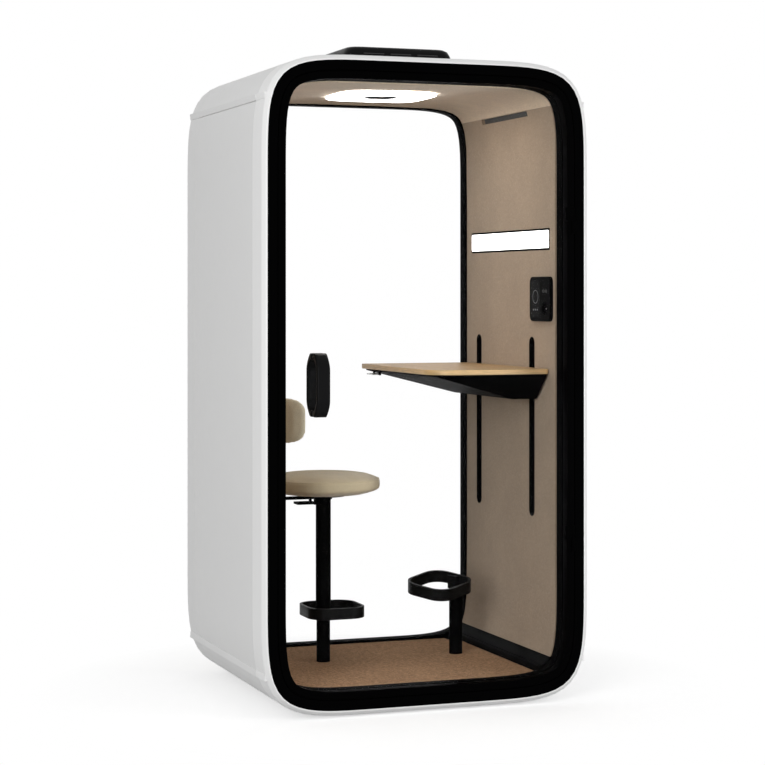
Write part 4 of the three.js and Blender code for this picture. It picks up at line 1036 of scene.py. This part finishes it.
def build_upholstery():
    """Seat cushion with its piping, and backrest pad, both swelled as stuffed fabric."""
    low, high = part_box("seat_cushion")
    cushion = puff(cushion_form("seat_cushion_form", low, high), 6 * MM, 3 * MM, 2)
    settle(cushion, "seat", "seat_fabric", "seat_cushion")
    centre = (low + high) / 2
    skin = surface_of(cushion)
    level = low.z + PIPING_LEVEL * (high.z - low.z)
    line = []
    for x, y in circle(0, 0, 1, PIPING_STEPS):
        out = Vector((x, y, 0))
        hit = skin.ray_cast(Vector((centre.x, centre.y, level)) + out * 0.4, -out)[0]
        line.append(hit - out * 0.6 * MM)
    piping = tube_along("seat_piping", line, PIPING_R, FABRIC)
    settle(piping, "seat", "seat_fabric")

    bm = bmesh.new()
    bm.from_mesh(NODES["backrest_pad"].data)
    bmesh.ops.remove_doubles(bm, verts=bm.verts, dist=0.01 * MM)
    low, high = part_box("backrest_pad")
    centre = (low + high) / 2
    for vertex in bm.verts:
        for axis in range(3):
            grown = 1 + 2 * PAD_FULLNESS / (high[axis] - low[axis])
            vertex.co[axis] = centre[axis] + (vertex.co[axis] - centre[axis]) * grown
    # The pad takes the lighter copy of the seat wool, which is painted light.
    pad = puff(mesh_object("backrest_pad_form", bm, PAD_FABRIC_PAINTED_LIGHT, 80), 5 * MM, 2 * MM, 8)
    settle(pad, "seat", "seat_fabric", "backrest_pad")


def build_footrest():
    """Post and loop."""
    soften("footrest_post", 1.0 * MM, BLACK, "pod", "black_metal", 40)
    soften("footrest_ring", 1.8 * MM, SATIN, "pod", "black_metal", 40)


def soft_lamp(name, place, size, power):
    """A square softbox that faces the middle of the pod."""
    lamp = bpy.data.lights.new(name, "AREA")
    lamp.shape = "RECTANGLE"
    lamp.size = size
    lamp.size_y = size
    lamp.energy = power
    softbox = bpy.data.objects.new(name, lamp)
    softbox.location = place
    aim = Vector((0, 0, 1.2)) - Vector(place)
    softbox.rotation_euler = aim.to_track_quat("-Z", "Y").to_euler()
    bpy.context.scene.collection.objects.link(softbox)


def build_stage():
    """White floor that keeps the shadow, white surroundings, two soft lamps and the camera."""
    bpy.ops.mesh.primitive_plane_add(size=80, location=(0, 0, CAD_BOX[0][2] - 0.5 * MM))
    floor = bpy.context.object
    floor.name = "floor"
    material = bpy.data.materials.new("pale_floor")
    material.use_nodes = True
    tree = material.node_tree
    tree.nodes.remove(tree.nodes["Principled BSDF"])
    surface = texture(tree, "ShaderNodeBsdfDiffuse", Color=(0.25, 0.25, 0.25, 1))
    shaded = texture(tree, "ShaderNodeBsdfDiffuse", Color=(0.8, 0.8, 0.8, 1))
    glow = texture(tree, "ShaderNodeEmission", Color=(1, 1, 1, 1), Strength=0.55)
    near = tree.nodes.new("ShaderNodeAddShader")
    tree.links.new(shaded.outputs[0], near.inputs[0])
    tree.links.new(glow.outputs[0], near.inputs[1])
    far = texture(tree, "ShaderNodeEmission", Color=(1, 1, 1, 1), Strength=1.0)
    distance = texture(tree, "ShaderNodeVectorMath")
    distance.operation = "LENGTH"
    tree.links.new(tree.nodes.new("ShaderNodeTexCoord").outputs["Object"], distance.inputs[0])
    white = tree.nodes.new("ShaderNodeMixShader")
    tree.links.new(spread(tree, distance.outputs["Value"], 0, 1, *SHADOW_REACH), white.inputs[0])
    tree.links.new(near.outputs[0], white.inputs[1])
    tree.links.new(far.outputs[0], white.inputs[2])
    rays = tree.nodes.new("ShaderNodeLightPath")
    both = tree.nodes.new("ShaderNodeMixShader")
    tree.links.new(seen_directly(tree, rays), both.inputs[0])
    tree.links.new(surface.outputs[0], both.inputs[1])
    tree.links.new(white.outputs[0], both.inputs[2])
    tree.links.new(both.outputs[0], tree.nodes["Material Output"].inputs["Surface"])
    floor.data.materials.append(material)

    world = bpy.data.worlds.new("white studio")
    bpy.context.scene.world = world
    world.use_nodes = True
    tree = world.node_tree
    light = tree.nodes["Background"]
    light.inputs["Color"].default_value = (1, 1, 1, 1)
    up = tree.nodes.new("ShaderNodeSeparateXYZ")
    tree.links.new(tree.nodes.new("ShaderNodeTexCoord").outputs["Generated"], up.inputs["Vector"])
    tree.links.new(spread(tree, up.outputs["Z"], 0.5, 0.28, 0.0, 0.9), light.inputs["Strength"])
    white = texture(tree, "ShaderNodeBackground", Color=(1, 1, 1, 1), Strength=1.0)
    rays = tree.nodes.new("ShaderNodeLightPath")
    both = tree.nodes.new("ShaderNodeMixShader")
    tree.links.new(seen_directly(tree, rays), both.inputs[0])
    tree.links.new(light.outputs[0], both.inputs[1])
    tree.links.new(white.outputs[0], both.inputs[2])
    tree.links.new(both.outputs[0], tree.nodes["World Output"].inputs["Surface"])

    soft_lamp("left softbox", (-5.0, -5.5, 2.2), 4, 290)
    soft_lamp("right fill", (4.6, -4.6, 0.9), 2, 170)

    lens = bpy.data.cameras.new("camera")
    lens.sensor_width = 36
    lens.lens = CAMERA_LENS
    lens.shift_y = CAMERA_SHIFT
    lens.clip_end = 200
    camera = bpy.data.objects.new("camera", lens)
    camera.location = CAMERA_AT
    camera.rotation_euler = (math.radians(90), 0, CAMERA_TURN)
    bpy.context.scene.collection.objects.link(camera)
    bpy.context.scene.camera = camera
    bpy.context.scene.view_settings.view_transform = "Standard"


def seen_directly(tree, rays):
    """1 for rays that see the surroundings: from the camera, in gloss or through glass."""
    total = rays.outputs["Is Camera Ray"]
    for kind in ("Is Glossy Ray", "Is Transmission Ray"):
        larger = texture(tree, "ShaderNodeMath")
        larger.operation = "MAXIMUM"
        tree.links.new(total, larger.inputs[0])
        tree.links.new(rays.outputs[kind], larger.inputs[1])
        total = larger.outputs[0]
    return total


def finish_nodes():
    """Gives every CAD node a finished material."""
    for name, cad in NODES.items():
        cad.data.materials.clear()
        cad.data.materials.append(NODE_MATERIAL.get(name, BLACK))


finish_nodes()
build_stage()
build_shell()
build_frames()
build_door()
build_cabin()
build_services()
build_desk()
build_stool()
build_upholstery()
build_footrest()
